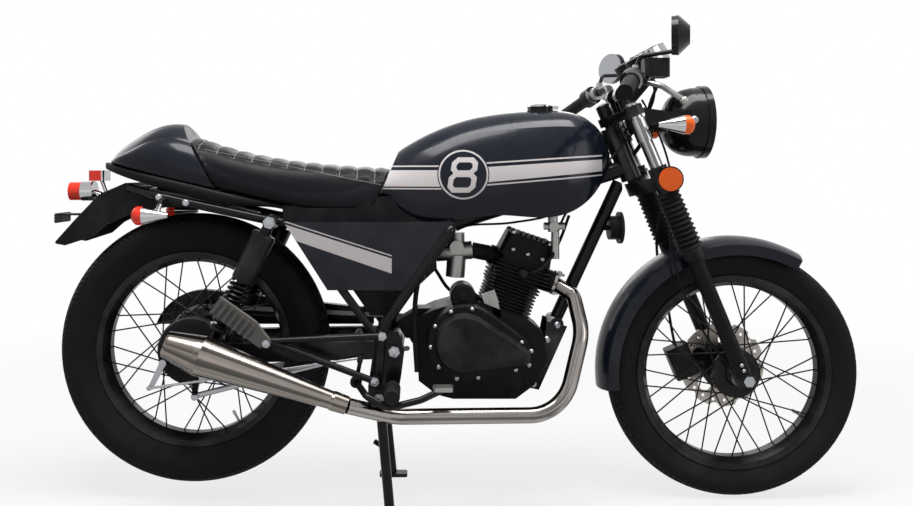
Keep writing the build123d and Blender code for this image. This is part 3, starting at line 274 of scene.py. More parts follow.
def brushed_group():
    """Fine lines across an axis, as turning leaves them, with painted reflection streaks: darker colour in a
    noise pattern over the surface's facing.
    """
    group, entry, out = new_group(
        "brushed_lines",
        [("Color", "NodeSocketColor", (0.6, 0.6, 0.6, 1)), ("Roughness", "NodeSocketFloat", 0.25),
         ("Axis", "NodeSocketVector", (1, 0, 0)), ("Lines", "NodeSocketFloat", 900.0)],
        [("Color", "NodeSocketColor"), ("Roughness", "NodeSocketFloat"), ("Normal", "NodeSocketVector")])
    place = group.nodes.new("ShaderNodeTexCoord").outputs["Object"]
    dot = group.nodes.new("ShaderNodeVectorMath")
    dot.operation = "DOT_PRODUCT"
    wire(group, place, dot.inputs[0])
    wire(group, entry.outputs["Axis"], dot.inputs[1])
    lines = group.nodes.new("ShaderNodeTexNoise")
    lines.noise_dimensions = "1D"
    lines.inputs["Detail"].default_value = 4.0
    wire(group, dot.outputs["Value"], lines.inputs["W"])
    wire(group, entry.outputs["Lines"], lines.inputs["Scale"])
    stain = ramp(group, noise(group, 11.0, 5.0, place), 0.35, 0.75)
    tinted = blend_color(group, product(group, stain, 0.35), entry.outputs["Color"], STAIN_COLOR)
    # Painted reflection: dark streaks from noise over the surface normal, as if dark surroundings were
    # mirrored in the metal
    turn = group.nodes.new("ShaderNodeNewGeometry").outputs["Normal"]
    painted_reflection_streaks = ramp(group, noise(group, 2.8, 3.0, turn), 0.42, 0.6)
    reflection_dark = blend_color(group, 0.75, tinted, REFLECTION_STREAK_COLOR)
    wire(group, blend_color(group, painted_reflection_streaks, reflection_dark, tinted), out.inputs["Color"])
    spread = ramp(group, lines.outputs["Fac"], 0.3, 0.7, -0.06, 0.1)
    wire(group, calc(group, "ADD", entry.outputs["Roughness"], spread), out.inputs["Roughness"])
    bump = group.nodes.new("ShaderNodeBump")
    bump.inputs["Strength"].default_value = LINE_STRENGTH
    bump.inputs["Distance"].default_value = LINE_HEIGHT
    wire(group, lines.outputs["Fac"], bump.inputs["Height"])
    wire(group, bump.outputs["Normal"], out.inputs["Normal"])


# Liveries. A stripe's lower and upper edge stand at the tail end of the run, then at its front end

TANK_FLANK_FROM = 25.0
TANK_ENDS = (380.0, 1003.0)
TANK_RUN = (604, 1000)
TANK_STRIPES = [
    {"low": (820.3, 846.0), "high": (823.6, 849.6)},
    {"low": (773.2, 809.9), "high": (812.3, 838.4)},
    {"low": (766.4, 799.0), "high": (769.8, 802.4)},
]
ROUNDEL_FORWARD = 661.8
ROUNDEL_UP = 802.0
ROUNDEL_R = 59.0
ROUNDEL_CLEAR = 2.5
RING_WIDTH = 4.0
NUMERAL_BOXES = [{"up": 19.5, "half": (25, 15.5)}, {"up": -18.5, "half": (27, 18.5)}]
NUMERAL_STROKE = 6.0
NUMERAL_CHAMFER = 9.0
NUMERAL_SLANT = 0.16
PANEL_RUN = (275, 490)
PANEL_STRIPES = [
    {"low": (641.7, 568.3), "high": (672.5, 603.8)},
    {"low": (677.5, 608.8), "high": (680.5, 611.8)},
]
PANEL_FRONT = 492.0


def livery_group(name):
    """New group that turns a paint and a stripe colour into one colour."""
    return new_group(
        name,
        [("Paint", "NodeSocketColor", (0, 0, 0, 1)), ("Stripe", "NodeSocketColor", (0.5, 0.5, 0.5, 1))],
        [("Color", "NodeSocketColor")])


def stripe_mask(tree, forward, up, run, stripes, clamp):
    """1 on any of the stripes, whose edges slope along the run."""
    mask = 0.0
    for stripe in stripes:
        low = ramp(tree, forward, *run, *stripe["low"], clamp=clamp)
        high = ramp(tree, forward, *run, *stripe["high"], clamp=clamp)
        mask = calc(tree, "MAXIMUM", mask, between(tree, up, low, high))
    return mask


def add_roundel(tree, mask, across, above):
    """The mask with the roundel's field cleared and its ring added."""
    reach = calc(tree, "SQRT", calc(tree, "ADD", square(tree, across), square(tree, above)))
    mask = product(tree, mask, calc(tree, "GREATER_THAN", reach, ROUNDEL_R + ROUNDEL_CLEAR))
    ring = between(tree, reach, ROUNDEL_R - RING_WIDTH, ROUNDEL_R)
    return calc(tree, "MAXIMUM", mask, ring)


def add_numeral(tree, mask, across, above):
    """The mask with the slanted block numeral added, as the outlines of two chamfered boxes."""
    slant = calc(tree, "SUBTRACT", across, product(tree, above, NUMERAL_SLANT))
    upright = calc(tree, "ABSOLUTE", slant)
    for box in NUMERAL_BOXES:
        half_wide, half_high = box["half"]
        cut = half_wide + half_high - NUMERAL_CHAMFER
        height = calc(tree, "ABSOLUTE", calc(tree, "SUBTRACT", above, box["up"]))
        side = calc(tree, "SUBTRACT", upright, half_wide)
        top = calc(tree, "SUBTRACT", height, half_high)
        beyond_cut = calc(tree, "SUBTRACT", calc(tree, "ADD", upright, height), cut)
        corner = product(tree, beyond_cut, sqrt(0.5))
        edge = calc(tree, "MAXIMUM", calc(tree, "MAXIMUM", side, top), corner)
        stroke = calc(tree, "LESS_THAN", calc(tree, "ABSOLUTE", edge), NUMERAL_STROKE)
        mask = calc(tree, "MAXIMUM", mask, stroke)
    return mask


def tank_group():
    """Stripes and a roundel with a block numeral, on both flanks."""
    group, entry, out = livery_group("tank_livery")
    forward, left, up = position(group)
    flank = calc(group, "GREATER_THAN", calc(group, "ABSOLUTE", left), TANK_FLANK_FROM)
    mask = stripe_mask(group, forward, up, TANK_RUN, TANK_STRIPES, True)
    across = calc(group, "SUBTRACT", forward, ROUNDEL_FORWARD)
    above = calc(group, "SUBTRACT", up, ROUNDEL_UP)
    mask = add_roundel(group, mask, across, above)
    mask = add_numeral(group, mask, across, above)
    ends = between(group, forward, *TANK_ENDS)
    mask = product(group, mask, flank, ends)
    wire(group, blend_color(group, mask, entry.outputs["Paint"], entry.outputs["Stripe"]), out.inputs[0])


def panel_group():
    """A slanting stripe with a thin line above it."""
    group, entry, out = livery_group("panel_livery")
    forward, up = position(group)[::2]
    mask = stripe_mask(group, forward, up, PANEL_RUN, PANEL_STRIPES, False)
    mask = product(group, mask, calc(group, "LESS_THAN", forward, PANEL_FRONT))
    wire(group, blend_color(group, mask, entry.outputs["Paint"], entry.outputs["Stripe"]), out.inputs[0])


# Materials

SPECULAR = 0.08
PAINT_COAT = 0.2
PAINT_GRAIN = (1400.0, 0.12)
LENS_GLOW = 0.12
MUFFLER_AXIS = Vector((0.937, 0.04, -0.331)).normalized()


def base_material(name, metallic=0.0, coat=0.0, coat_roughness=0.1):
    """New material; returns its node tree and its shader."""
    material = bpy.data.materials.new(LOOK + name)
    material.use_nodes = True
    shader = material.node_tree.nodes["Principled BSDF"]
    shader.inputs["Metallic"].default_value = metallic
    shader.inputs["Specular IOR Level"].default_value = 0.5 if metallic else SPECULAR
    shader.inputs["Coat Weight"].default_value = coat
    shader.inputs["Coat Roughness"].default_value = coat_roughness
    return material.node_tree, shader


def add_group(tree, group_name, values):
    """Put a shared group in a material with its own values."""
    node = tree.nodes.new("ShaderNodeGroup")
    node.node_tree = bpy.data.node_groups[group_name]
    for label, value in values.items():
        wire(tree, value, node.inputs[label])
    return node


def add_finish(tree, shader, group_name, values):
    """Put a shared finish in a material and join what it gives to the shader."""
    node = add_group(tree, group_name, values)
    for label, target in (("Color", "Base Color"), ("Roughness", "Roughness"), ("Normal", "Normal")):
        tree.links.new(node.outputs[label], shader.inputs[target])


def surface(color, roughness, grain, dust, wear):
    """Values of the surface detail; grain is its scale and depth."""
    return {"Color": color, "Roughness": roughness, "Grain Scale": grain[0], "Grain Depth": grain[1],
            "Dust": dust, "Edge Wear": wear}


def finish(name, color, roughness, grain, dust, wear, metallic=0.0, coat=0.0):
    """Solid finish with the shared surface detail."""
    tree, shader = base_material(name, metallic, coat)
    add_finish(tree, shader, "surface_detail", surface((*color, 1), roughness, grain, dust, wear))


def livery(name, group_name, roughness):
    """Painted finish whose colour comes from a livery group."""
    tree, shader = base_material(name, 0.0, PAINT_COAT)
    node = add_group(tree, group_name, {"Paint": (*look().paint, 1), "Stripe": (*look().stripe, 1)})
    values = surface(node.outputs["Color"], roughness, PAINT_GRAIN, 0.04, 0.05)
    add_finish(tree, shader, "surface_detail", values)


def brushed(name, color, roughness, axis, lines):
    """Bare metal with fine lines across the axis and painted reflection streaks."""
    tree, shader = base_material(name, 1.0)
    add_finish(tree, shader, "brushed_lines", {
        "Color": (*color, 1), "Roughness": roughness, "Axis": axis, "Lines": lines})


def lens(name, color):
    """Coloured moulded lens, lit a little by its own colour."""
    tree, shader = base_material(name, 0.0, 0.25, 0.03)
    add_finish(tree, shader, "surface_detail", surface((*color, 1), 0.12, (260.0, 0.6), 0.02, 0.0))
    shader.inputs["Emission Color"].default_value = (*color, 1)
    shader.inputs["Emission Strength"].default_value = LENS_GLOW


# Finishes as colour, roughness, grain (scale and depth), dust and edge wear
DULL_FINISHES = {
    "engine_paint": ((0.006, 0.006, 0.007), 0.42, (1800.0, 0.3), 0.1, 0.2),
    "rubber": ((0.008, 0.008, 0.009), 0.62, (1500.0, 0.35), 0.08, 0.02),
    "ribbed_rubber": ((0.09, 0.085, 0.08), 0.6, (900.0, 0.3), 0.2, 0.2),
    "tyre": ((0.008, 0.008, 0.0085), 0.66, (1300.0, 0.5), 0.1, 0.02),
    "seat_vinyl": ((0.006, 0.006, 0.008), 0.34, (620.0, 0.75), 0.05, 0.04),
    "black_plastic": ((0.006, 0.006, 0.007), 0.46, (1200.0, 0.4), 0.08, 0.05),
    "thread": ((0.42, 0.41, 0.4), 0.7, (4000.0, 0.8), 0.0, 0.0),
    "pale_dial": ((0.3, 0.3, 0.29), 0.45, (700.0, 0.05), 0.0, 0.0),
}
METALS = {
    "cast_alloy": ((0.27, 0.27, 0.26), 0.38, (1100.0, 0.5), 0.15, 0.1),
    "zinc": ((0.33, 0.34, 0.36), 0.3, (1300.0, 0.2), 0.05, 0.05),
    "chrome": ((0.42, 0.42, 0.43), 0.07, (600.0, 0.03), 0.02, 0.0),
    "mirror_glass": ((0.36, 0.37, 0.39), 0.02, (400.0, 0.01), 0.01, 0.0),
    "chain_steel": ((0.2, 0.19, 0.18), 0.42, (900.0, 0.3), 0.1, 0.1),
    "disc_steel": ((0.36, 0.33, 0.3), 0.34, (900.0, 0.2), 0.1, 0.1),
}


class MOTORCYCLE_OT_materials(bpy.types.Operator):
    """Make the shared shader groups and every material"""

    bl_idname = "motorcycle.materials"
    bl_label = "Make materials"

    def execute(self, context):
        surface_group()
        brushed_group()
        tank_group()
        panel_group()
        livery("tank_paint", "tank_livery", 0.2)
        livery("panel_paint", "panel_livery", 0.24)
        finish("body_paint", look().paint, 0.24, PAINT_GRAIN, 0.05, 0.05, coat=PAINT_COAT)
        finish("frame_paint", look().black, 0.22, (1000.0, 0.08), 0.06, 0.15, coat=0.12)
        finish("gloss_plastic", (0.005, 0.005, 0.006), 0.2, (900.0, 0.05), 0.04, 0.05, coat=0.12)
        finish("lamp_glass", (0.4, 0.43, 0.46), 0.08, (180.0, 0.7), 0.03, 0.0, coat=0.6)
        for name, row in DULL_FINISHES.items():
            finish(name, *row)
        for name, row in METALS.items():
            finish(name, *row, metallic=1.0)
        brushed("muffler_steel", (0.27, 0.245, 0.225), 0.17, MUFFLER_AXIS, 1300.0)
        brushed("header_steel", (0.34, 0.325, 0.31), 0.13, FORWARD, 500.0)
        brushed("fork_chrome", (0.42, 0.42, 0.44), 0.16, STEER_UP, 700.0)
        lens("amber_lens", look().amber)
        lens("red_lens", look().red)
        return {"FINISHED"}


# Mesh building

SHARP_ANGLE = 38
# (share of the height, share of the radius) from the foot over the dome into the recess
DOME_HEAD = [(0.45, 1.0), (0.85, 0.72), (1.0, 0.4), (0.6, 0.34), (0.6, 0)]


def circle(bm, centre, radius, side, other, steps):
    """Vertices of a circle in the plane of side and other."""
    turns = [2 * pi * number / steps for number in range(steps)]
    return [bm.verts.new(centre + radius * (cos(turn) * side + sin(turn) * other)) for turn in turns]


def skin(bm, rings):
    """Faces between neighbouring closed rings; a ring may be a single point."""
    for before, after in zip(rings, rings[1:]):
        for number in range(max(len(before), len(after))):
            corners = [before[number % len(before)], before[(number + 1) % len(before)],
                       after[(number + 1) % len(after)], after[number % len(after)]]
            corners = list(dict.fromkeys(corners))
            if len(corners) > 2:
                bm.faces.new(corners)


def lathe(bm, origin, axis, profile, steps=28):
    """Revolve (along, radius) points round an axis; a radius of 0 closes an end."""
    axis = axis.normalized()
    side = axis.orthogonal().normalized()
    other = axis.cross(side)
    rings = []
    for along, radius in profile:
        centre = origin + axis * along
        if radius:
            rings.append(circle(bm, centre, radius, side, other, steps))
        else:
            rings.append([bm.verts.new(centre)])
    skin(bm, rings)


def tube(bm, points, radius, sides):
    """Round tube with closed ends along points."""
    side = (points[1] - points[0]).orthogonal().normalized()
    rings = []
    for number, point in enumerate(points):
        along = (points[min(number + 1, len(points) - 1)] - points[max(number - 1, 0)]).normalized()
        side = (side - along * side.dot(along)).normalized()
        rings.append(circle(bm, point, radius, side, along.cross(side), sides))
    skin(bm, rings)
    bm.faces.new(rings[0][::-1])
    bm.faces.new(rings[-1])


def curve_through(points, steps=8):
    """Smooth run of points through the given ones."""
    ends = [points[0] * 2 - points[1]] + points + [points[-1] * 2 - points[-2]]
    run = []
    for a, b, c, d in zip(ends, ends[1:], ends[2:], ends[3:]):
        for step in range(steps):
            t = step / steps
            run.append(0.5 * ((2 * b) + (c - a) * t + (2 * a - 5 * b + 4 * c - d) * t ** 2
                              + (3 * b - a - 3 * c + d) * t ** 3))
    return run + [points[-1]]


def block(bm, centre, half, turn=0.0):
    """Box of half sizes, turned about the left axis."""
    corners = []
    for x in (-1, 1):
        for y in (-1, 1):
            for z in (-1, 1):
                along, across, high = x * half[0], y * half[1], z * half[2]
                corners.append(bm.verts.new(centre + Vector((along * cos(turn) + high * sin(turn), across,
                                                             high * cos(turn) - along * sin(turn)))))
    for face in ((0, 1, 3, 2), (4, 6, 7, 5), (0, 4, 5, 1), (2, 3, 7, 6), (0, 2, 6, 4), (1, 5, 7, 3)):
        bm.faces.new([corners[n] for n in face])


def piece(name, bm, body, material, angle=SHARP_ANGLE):
    """Finish a mesh, link it and let it ride on a body, if it has one."""
    bmesh.ops.recalc_face_normals(bm, faces=bm.faces)
    mesh = bpy.data.meshes.new(name)
    bm.to_mesh(mesh)
    bm.free()
    mesh.shade_smooth()
    mesh.set_sharp_from_angle(angle=radians(angle))
    mesh.materials.append(bpy.data.materials[LOOK + material])
    obj = bpy.data.objects.new(name, mesh)
    bpy.context.scene.collection.objects.link(obj)
    if body:
        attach(obj, body)
    return obj


def dome(bm, at, axis, radius, height):
    """Domed screw head with a recess, standing on at."""
    profile = [(height * high, radius * wide) for high, wide in DOME_HEAD]
    lathe(bm, at, axis, [(-0.002, radius)] + profile, 16)


# Finishes of the frame's nodes, with the places where a finish begins

FORK_HALF = 95.0
FORK_SLEEVE_R = 20.5
FORK_SLEEVE_RUN = (4.5, 59.5)
CAP_AT = (862, 0, 972)
CAP_SEAT_R = 33
CAP_SEAT_UP = 961.5
CHAIN_LEFT = 78.0
SPROCKET_HALF = 5
SPROCKET_CENTRE_R = 42
REAR_WHEEL_UP = REAR_AXLE.z / MM


def paint(node, layers):
    """Give a CAD node its materials; a later layer covers the faces whose centre passes its test."""
    obj = frame["nodes"][node]
    obj.data.materials.clear()
    for material, test in layers:
        obj.data.materials.append(bpy.data.materials[LOOK + material])
    for face in obj.data.polygons:
        at = local(obj.matrix_world @ face.center)
        for index, (material, test) in enumerate(layers):
            if test is None or test(*at, face.normal):
                face.material_index = index


def on_fork_sleeve(forward, left, up, normal):
    """True on the two bright sleeves between the yokes."""
    offset = (spot(forward, left, up) - STEER_AT) / MM
    across = hypot(offset.dot(STEER_AHEAD) - FORK_AHEAD, abs(left) - FORK_HALF)
    return across < FORK_SLEEVE_R and FORK_SLEEVE_RUN[0] < offset.dot(STEER_UP) < FORK_SLEEVE_RUN[1]


def on_cap_seat(forward, left, up, normal):
    """True on the tank's ledge under the filler cap."""
    return hypot(forward - CAP_AT[0], left) < CAP_SEAT_R and up > CAP_SEAT_UP


def on_sprocket(forward, left, up, normal):
    """True on the rear wheel's sprocket, outside the hub."""
    in_line = abs(left - CHAIN_LEFT) < SPROCKET_HALF
    return in_line and hypot(forward, up - REAR_WHEEL_UP) > SPROCKET_CENTRE_R


def ahead_of(limit):
    """Test for faces further forward than a limit."""
    return lambda forward, left, up, normal: forward > limit


def behind(limit):
    """Test for faces further back than a limit."""
    return lambda forward, left, up, normal: forward < limit


def above(limit):
    """Test for faces higher than a limit."""
    return lambda forward, left, up, normal: up > limit


def below(limit):
    """Test for faces lower than a limit."""
    return lambda forward, left, up, normal: up < limit


def outside(limit):
    """Test for faces further from the centre plane than a limit."""
    return lambda forward, left, up, normal: abs(left) > limit


def inside(limit):
    """Test for faces nearer to the centre plane than a limit."""
    return lambda forward, left, up, normal: abs(left) < limit


def right_of(limit):
    """Test for faces further to the right than a limit."""
    return lambda forward, left, up, normal: left < limit


def facing(direction, share):
    """Test for faces whose normal points along a direction by more than a share."""
    return lambda forward, left, up, normal: normal.dot(direction) > share


def all_of(*tests):
    """Test that asks for all of some tests."""
    return lambda *face: all(test(*face) for test in tests)


def any_of(*tests):
    """Test that asks for any of some tests."""
    return lambda *face: any(test(*face) for test in tests)


PLAIN_NODES = {
    "frame_paint": ["frame_spine", "down_tube", "rear_frame", "seat_rails", "swingarm", "chain_guard",
                    "front_wheel", "centre_stand"],
    "engine_paint": ["cylinder_barrel", "cylinder_head", "engine_case", "brake_caliper", "fork_lowers"],
    "black_plastic": ["air_box", "tail_tray", "rear_fender", "horn"],
    "rubber": ["fork_boots", "brake_hose", "speedometer_cable"],
    "zinc": ["stand_pivot", "rear_axle", "front_axle"],
    "header_steel": ["exhaust_header"],
    "muffler_steel": ["muffler"],
    "panel_paint": ["side_panels"],
    "body_paint": ["front_fender"],
    "cast_alloy": ["fuel_tap"],
    "fork_chrome": ["fork_tubes"],
    "disc_steel": ["front_disc"],
}
# Nodes with more than one finish: the first covers all, each later one the faces that its test picks
LAYERED_NODES = {
    "fuel_tank": [("tank_paint", None), ("gloss_plastic", on_cap_seat)],
    "fork_yokes": [("frame_paint", None), ("fork_chrome", on_fork_sleeve)],
    "carburettor": [("cast_alloy", None), ("rubber", ahead_of(690)), ("black_plastic", behind(622))],
    "tail_lamp": [("chrome", None), ("red_lens", any_of(behind(-289), all_of(above(786), behind(-240))))],
    "rear_indicators": [("chrome", None), ("red_lens", behind(-92.5)), ("black_plastic", above(728))],
    "front_indicators": [("chrome", None), ("amber_lens", ahead_of(1178.5))],
    "headlight": [("gloss_plastic", None), ("chrome", all_of(ahead_of(1262), facing(FORWARD, 0.9))),
                  ("lamp_glass", ahead_of(1275))],
    "seat_cowl": [("body_paint", None), ("seat_vinyl", all_of(facing(FORWARD, 0.75), facing(UP, 0.3)))],
    "mirrors": [("gloss_plastic", None),
                ("mirror_glass", all_of(above(1060), outside(225), facing(-FORWARD, 0.93)))],
    "instruments": [("black_plastic", None), ("chrome", above(1078))],
    "handlebar": [("gloss_plastic", None), ("rubber", outside(239.5))],
    "hand_controls": [("cast_alloy", None),
                      ("black_plastic", any_of(all_of(outside(205), inside(240), behind(1072)),
                                               all_of(right_of(0), above(1023), ahead_of(1066))))],
    "foot_controls": [("frame_paint", None), ("cast_alloy", all_of(ahead_of(586), above(302.5)))],
    "footrests": [("frame_paint", None), ("rubber", all_of(ahead_of(470), outside(146))),
                  ("ribbed_rubber", all_of(outside(161), behind(215)))],
    "rear_brake": [("engine_paint", None),
                   ("zinc", any_of(right_of(-109), below(268), all_of(below(345), ahead_of(20))))],
    "rear_wheel": [("frame_paint", None), ("chain_steel", on_sprocket)],
}


class MOTORCYCLE_OT_nodes(bpy.types.Operator):
    """Give the CAD nodes in the two tables their finish"""

    bl_idname = "motorcycle.nodes"
    bl_label = "Paint the frame's nodes"

    def execute(self, context):
        for material, nodes in PLAIN_NODES.items():
            for node in nodes:
                paint(node, [(material, None)])
        for node, layers in LAYERED_NODES.items():
            paint(node, layers)
        return {"FINISHED"}


# Tyres with their tread

TYRES = [
    {"name": "rear_tread", "node": "rear_tyre", "joint": "rear_wheel", "body": "rear_wheel_set",
     "outer": 335.0, "half": 59.0, "bead": 33.0, "steps": 640},
    {"name": "front_tread", "node": "front_tyre", "joint": "front_wheel", "body": "front_wheel_set",
     "outer": 310.5, "half": 45.0, "bead": 26.0, "steps": 600},
]
RIM_EDGE_R = 241.0
CROWN_HALF = 0.86
SHOULDER_DROP = 0.30
TREAD_DROP = 0.42
WALL_POINTS = 14
WALL_FULL_AT = 0.9
WALL_TUCK_FROM = 0.6
WALL_TUCK = 0.34
WALL_RING = {"above_rim": 9, "half": 2.5, "depth": -0.4}
TREAD_ACROSS = 44
ZIGZAG_PITCH = 31.0
ZIGZAG_SWING = 3.4
GROOVE_HALF = 2.6
GROOVE_LEAN = 0.6
GROOVE_INWARD = 0.8
TREAD_SHARP_ANGLE = 48
# Long grooves lie at these shares of the half width; slots lie between two shares, in rows that lean
GROOVES_AT = (0.0, 0.30, 0.62)
SLOTS = [
    {"from": 0.66, "to": 1.02, "pitch": ZIGZAG_PITCH / 2, "lean": 0.9, "open": 0.3, "depth": 0.9},
    {"from": 0.34, "to": 0.58, "pitch": ZIGZAG_PITCH, "lean": -1.3, "open": 0.13, "depth": 0.7},
]


def groove(along, across, half):
    """1 in a groove of the tread, 0 on a block; along and across in millimetres."""
    phase = along / ZIGZAG_PITCH
    swing = ZIGZAG_SWING * (4 * abs(phase - floor(phase + 0.5)) - 1)
    off = abs(across)
    for share in GROOVES_AT:
        if abs(off - share * half - (swing if share else 0)) < GROOVE_HALF:
            return 1.0
    for row in SLOTS:
        slot = (along + off * row["lean"]) / row["pitch"]
        if row["from"] * half < off < row["to"] * half and slot - floor(slot) < row["open"]:
            return row["depth"]
    return 0.0


def tyre_profile(row):
    """(radius, left) points from one rim edge round the tread to the other."""
    half, outer = row["half"], row["outer"]
    crown_half = CROWN_HALF * half
    drop = SHOULDER_DROP * half
    crown_r = (crown_half ** 2 + drop ** 2) / (2 * drop)
    wall = []
    for number in range(WALL_POINTS):
        share = number / WALL_POINTS
        bulge = sin(min(1.0, share / WALL_FULL_AT) * pi / 2)
        tuck = max(0.0, share - WALL_TUCK_FROM) * WALL_TUCK * half
        left = row["bead"] + bulge * (half - row["bead"]) - tuck
        wall.append((RIM_EDGE_R + share * (outer - drop - RIM_EDGE_R), -left))
    crown = []
    for number in range(TREAD_ACROSS + 1):
        left = -crown_half + 2 * crown_half * number / TREAD_ACROSS
        crown.append((outer - crown_r + sqrt(crown_r ** 2 - left ** 2), left))
    return wall + crown + [(radius, -left) for radius, left in reversed(wall)]


def tyre_ring(bm, row, profile, turn):
    """The tyre's section at one turn, with the tread's grooves and the ring on each wall cut in."""
    out = Vector((cos(turn), 0, sin(turn)))
    ring = []
    for radius, left in profile:
        depth = 0.0
        if radius > row["outer"] - TREAD_DROP * row["half"]:
            depth = groove(turn * row["outer"], left, row["half"])
        elif abs(radius - RIM_EDGE_R - WALL_RING["above_rim"]) < WALL_RING["half"]:
            depth = WALL_RING["depth"]
        inward = LEFT * (-left / row["half"] * GROOVE_LEAN) - out * GROOVE_INWARD
        place = JOINT_AT[row["joint"]] + out * radius * MM + LEFT * left * MM
        ring.append(bm.verts.new(place + inward.normalized() * depth * look().tread_depth))
    return ring


class MOTORCYCLE_OT_tyres(bpy.types.Operator):
    """Model both tyres with their tread grooves and sidewall rings"""

    bl_idname = "motorcycle.tyres"
    bl_label = "Make the tyres"

    def execute(self, context):
        for row in TYRES:
            profile = tyre_profile(row)
            bm = bmesh.new()
            turns = [2 * pi * step / row["steps"] for step in range(row["steps"])]
            rings = [tyre_ring(bm, row, profile, turn) for turn in turns]
            skin(bm, rings + rings[:1])
            tread = piece(row["name"], bm, row["body"], "tyre", angle=TREAD_SHARP_ANGLE)
            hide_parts(row["node"])
        return {"FINISHED"}


# Seat: the pad's own shape, swelled as cloth, then sewn into rolls

SEAT_VOXEL = 0.005
SEAT_SHRINK = 0.003
SEAT_SWELL_CAP = 0.0035
SEAT_PRESSURE = 4.0
SEAT_FRAMES = 20
BASE_FACES_DOWN = -0.35
ROLLS_FROM = 21.0
ROLLS_TO = 474.0
ROLLS_HALF = 92.0
ROLLS_EDGE = 10.0
ROLLS_FACE_UP = 0.25
ROLLS_FACE_FADE = 0.4
THREAD_R = 0.0007
THREAD_LIFT = 0.0004
CHANNEL_STITCHES = {"behind": 3.5, "pitch": 3.8, "half": 1.1, "each_side": 23, "cast_from": 1000}
SEAM_STITCHES = {"from": 40, "pitch": 4.4, "long": 2.4, "drop": 0.5, "count": 100, "cast_from": 300,
                 "up": 858, "slope": 0.2, "level_at": 60}


def swell(obj, context):
    """Let the pad swell under pressure with its base held, no vertex moving past the cap."""
    mesh = obj.data
    held = obj.vertex_groups.new(name="held")
    held.add([v.index for v in mesh.vertices if v.normal.z < BASE_FACES_DOWN], 1.0, "REPLACE")
    start = [v.co.copy() for v in mesh.vertices]
    cloth = obj.modifiers.new("cloth", "CLOTH")
    cloth.settings.vertex_group_mass = "held"
    cloth.settings.use_pressure = True
    cloth.settings.uniform_pressure_force = SEAT_PRESSURE
    cloth.settings.effector_weights.gravity = 0.0
    for number in range(SEAT_FRAMES):
        context.scene.frame_set(number + 1)
    shape = obj.evaluated_get(context.evaluated_depsgraph_get()).to_mesh()
    swelled = [v.co.copy() for v in shape.vertices]
    obj.modifiers.remove(cloth)
    context.scene.frame_set(1)
    for vertex, before, after in zip(mesh.vertices, start, swelled):
        move = after - before
        if move.length > SEAT_SWELL_CAP:
            move = move.normalized() * SEAT_SWELL_CAP
        vertex.co = before + move
    obj.vertex_groups.clear()


def roll_height(forward, left):
    """How far below a roll's crest the cover lies, 0 to 1, from the sewn channels."""
    if not ROLLS_FROM < forward < ROLLS_TO:
        return 0.0
    share = (forward - ROLLS_FROM) * MM / look().roll_pitch
    share -= floor(share)
    dip = 1 - sqrt(max(0.0, 1 - (2 * share - 1) ** 2))
    fade = min(1.0, max(0.0, (ROLLS_HALF - abs(left)) / ROLLS_EDGE))
    return dip * fade


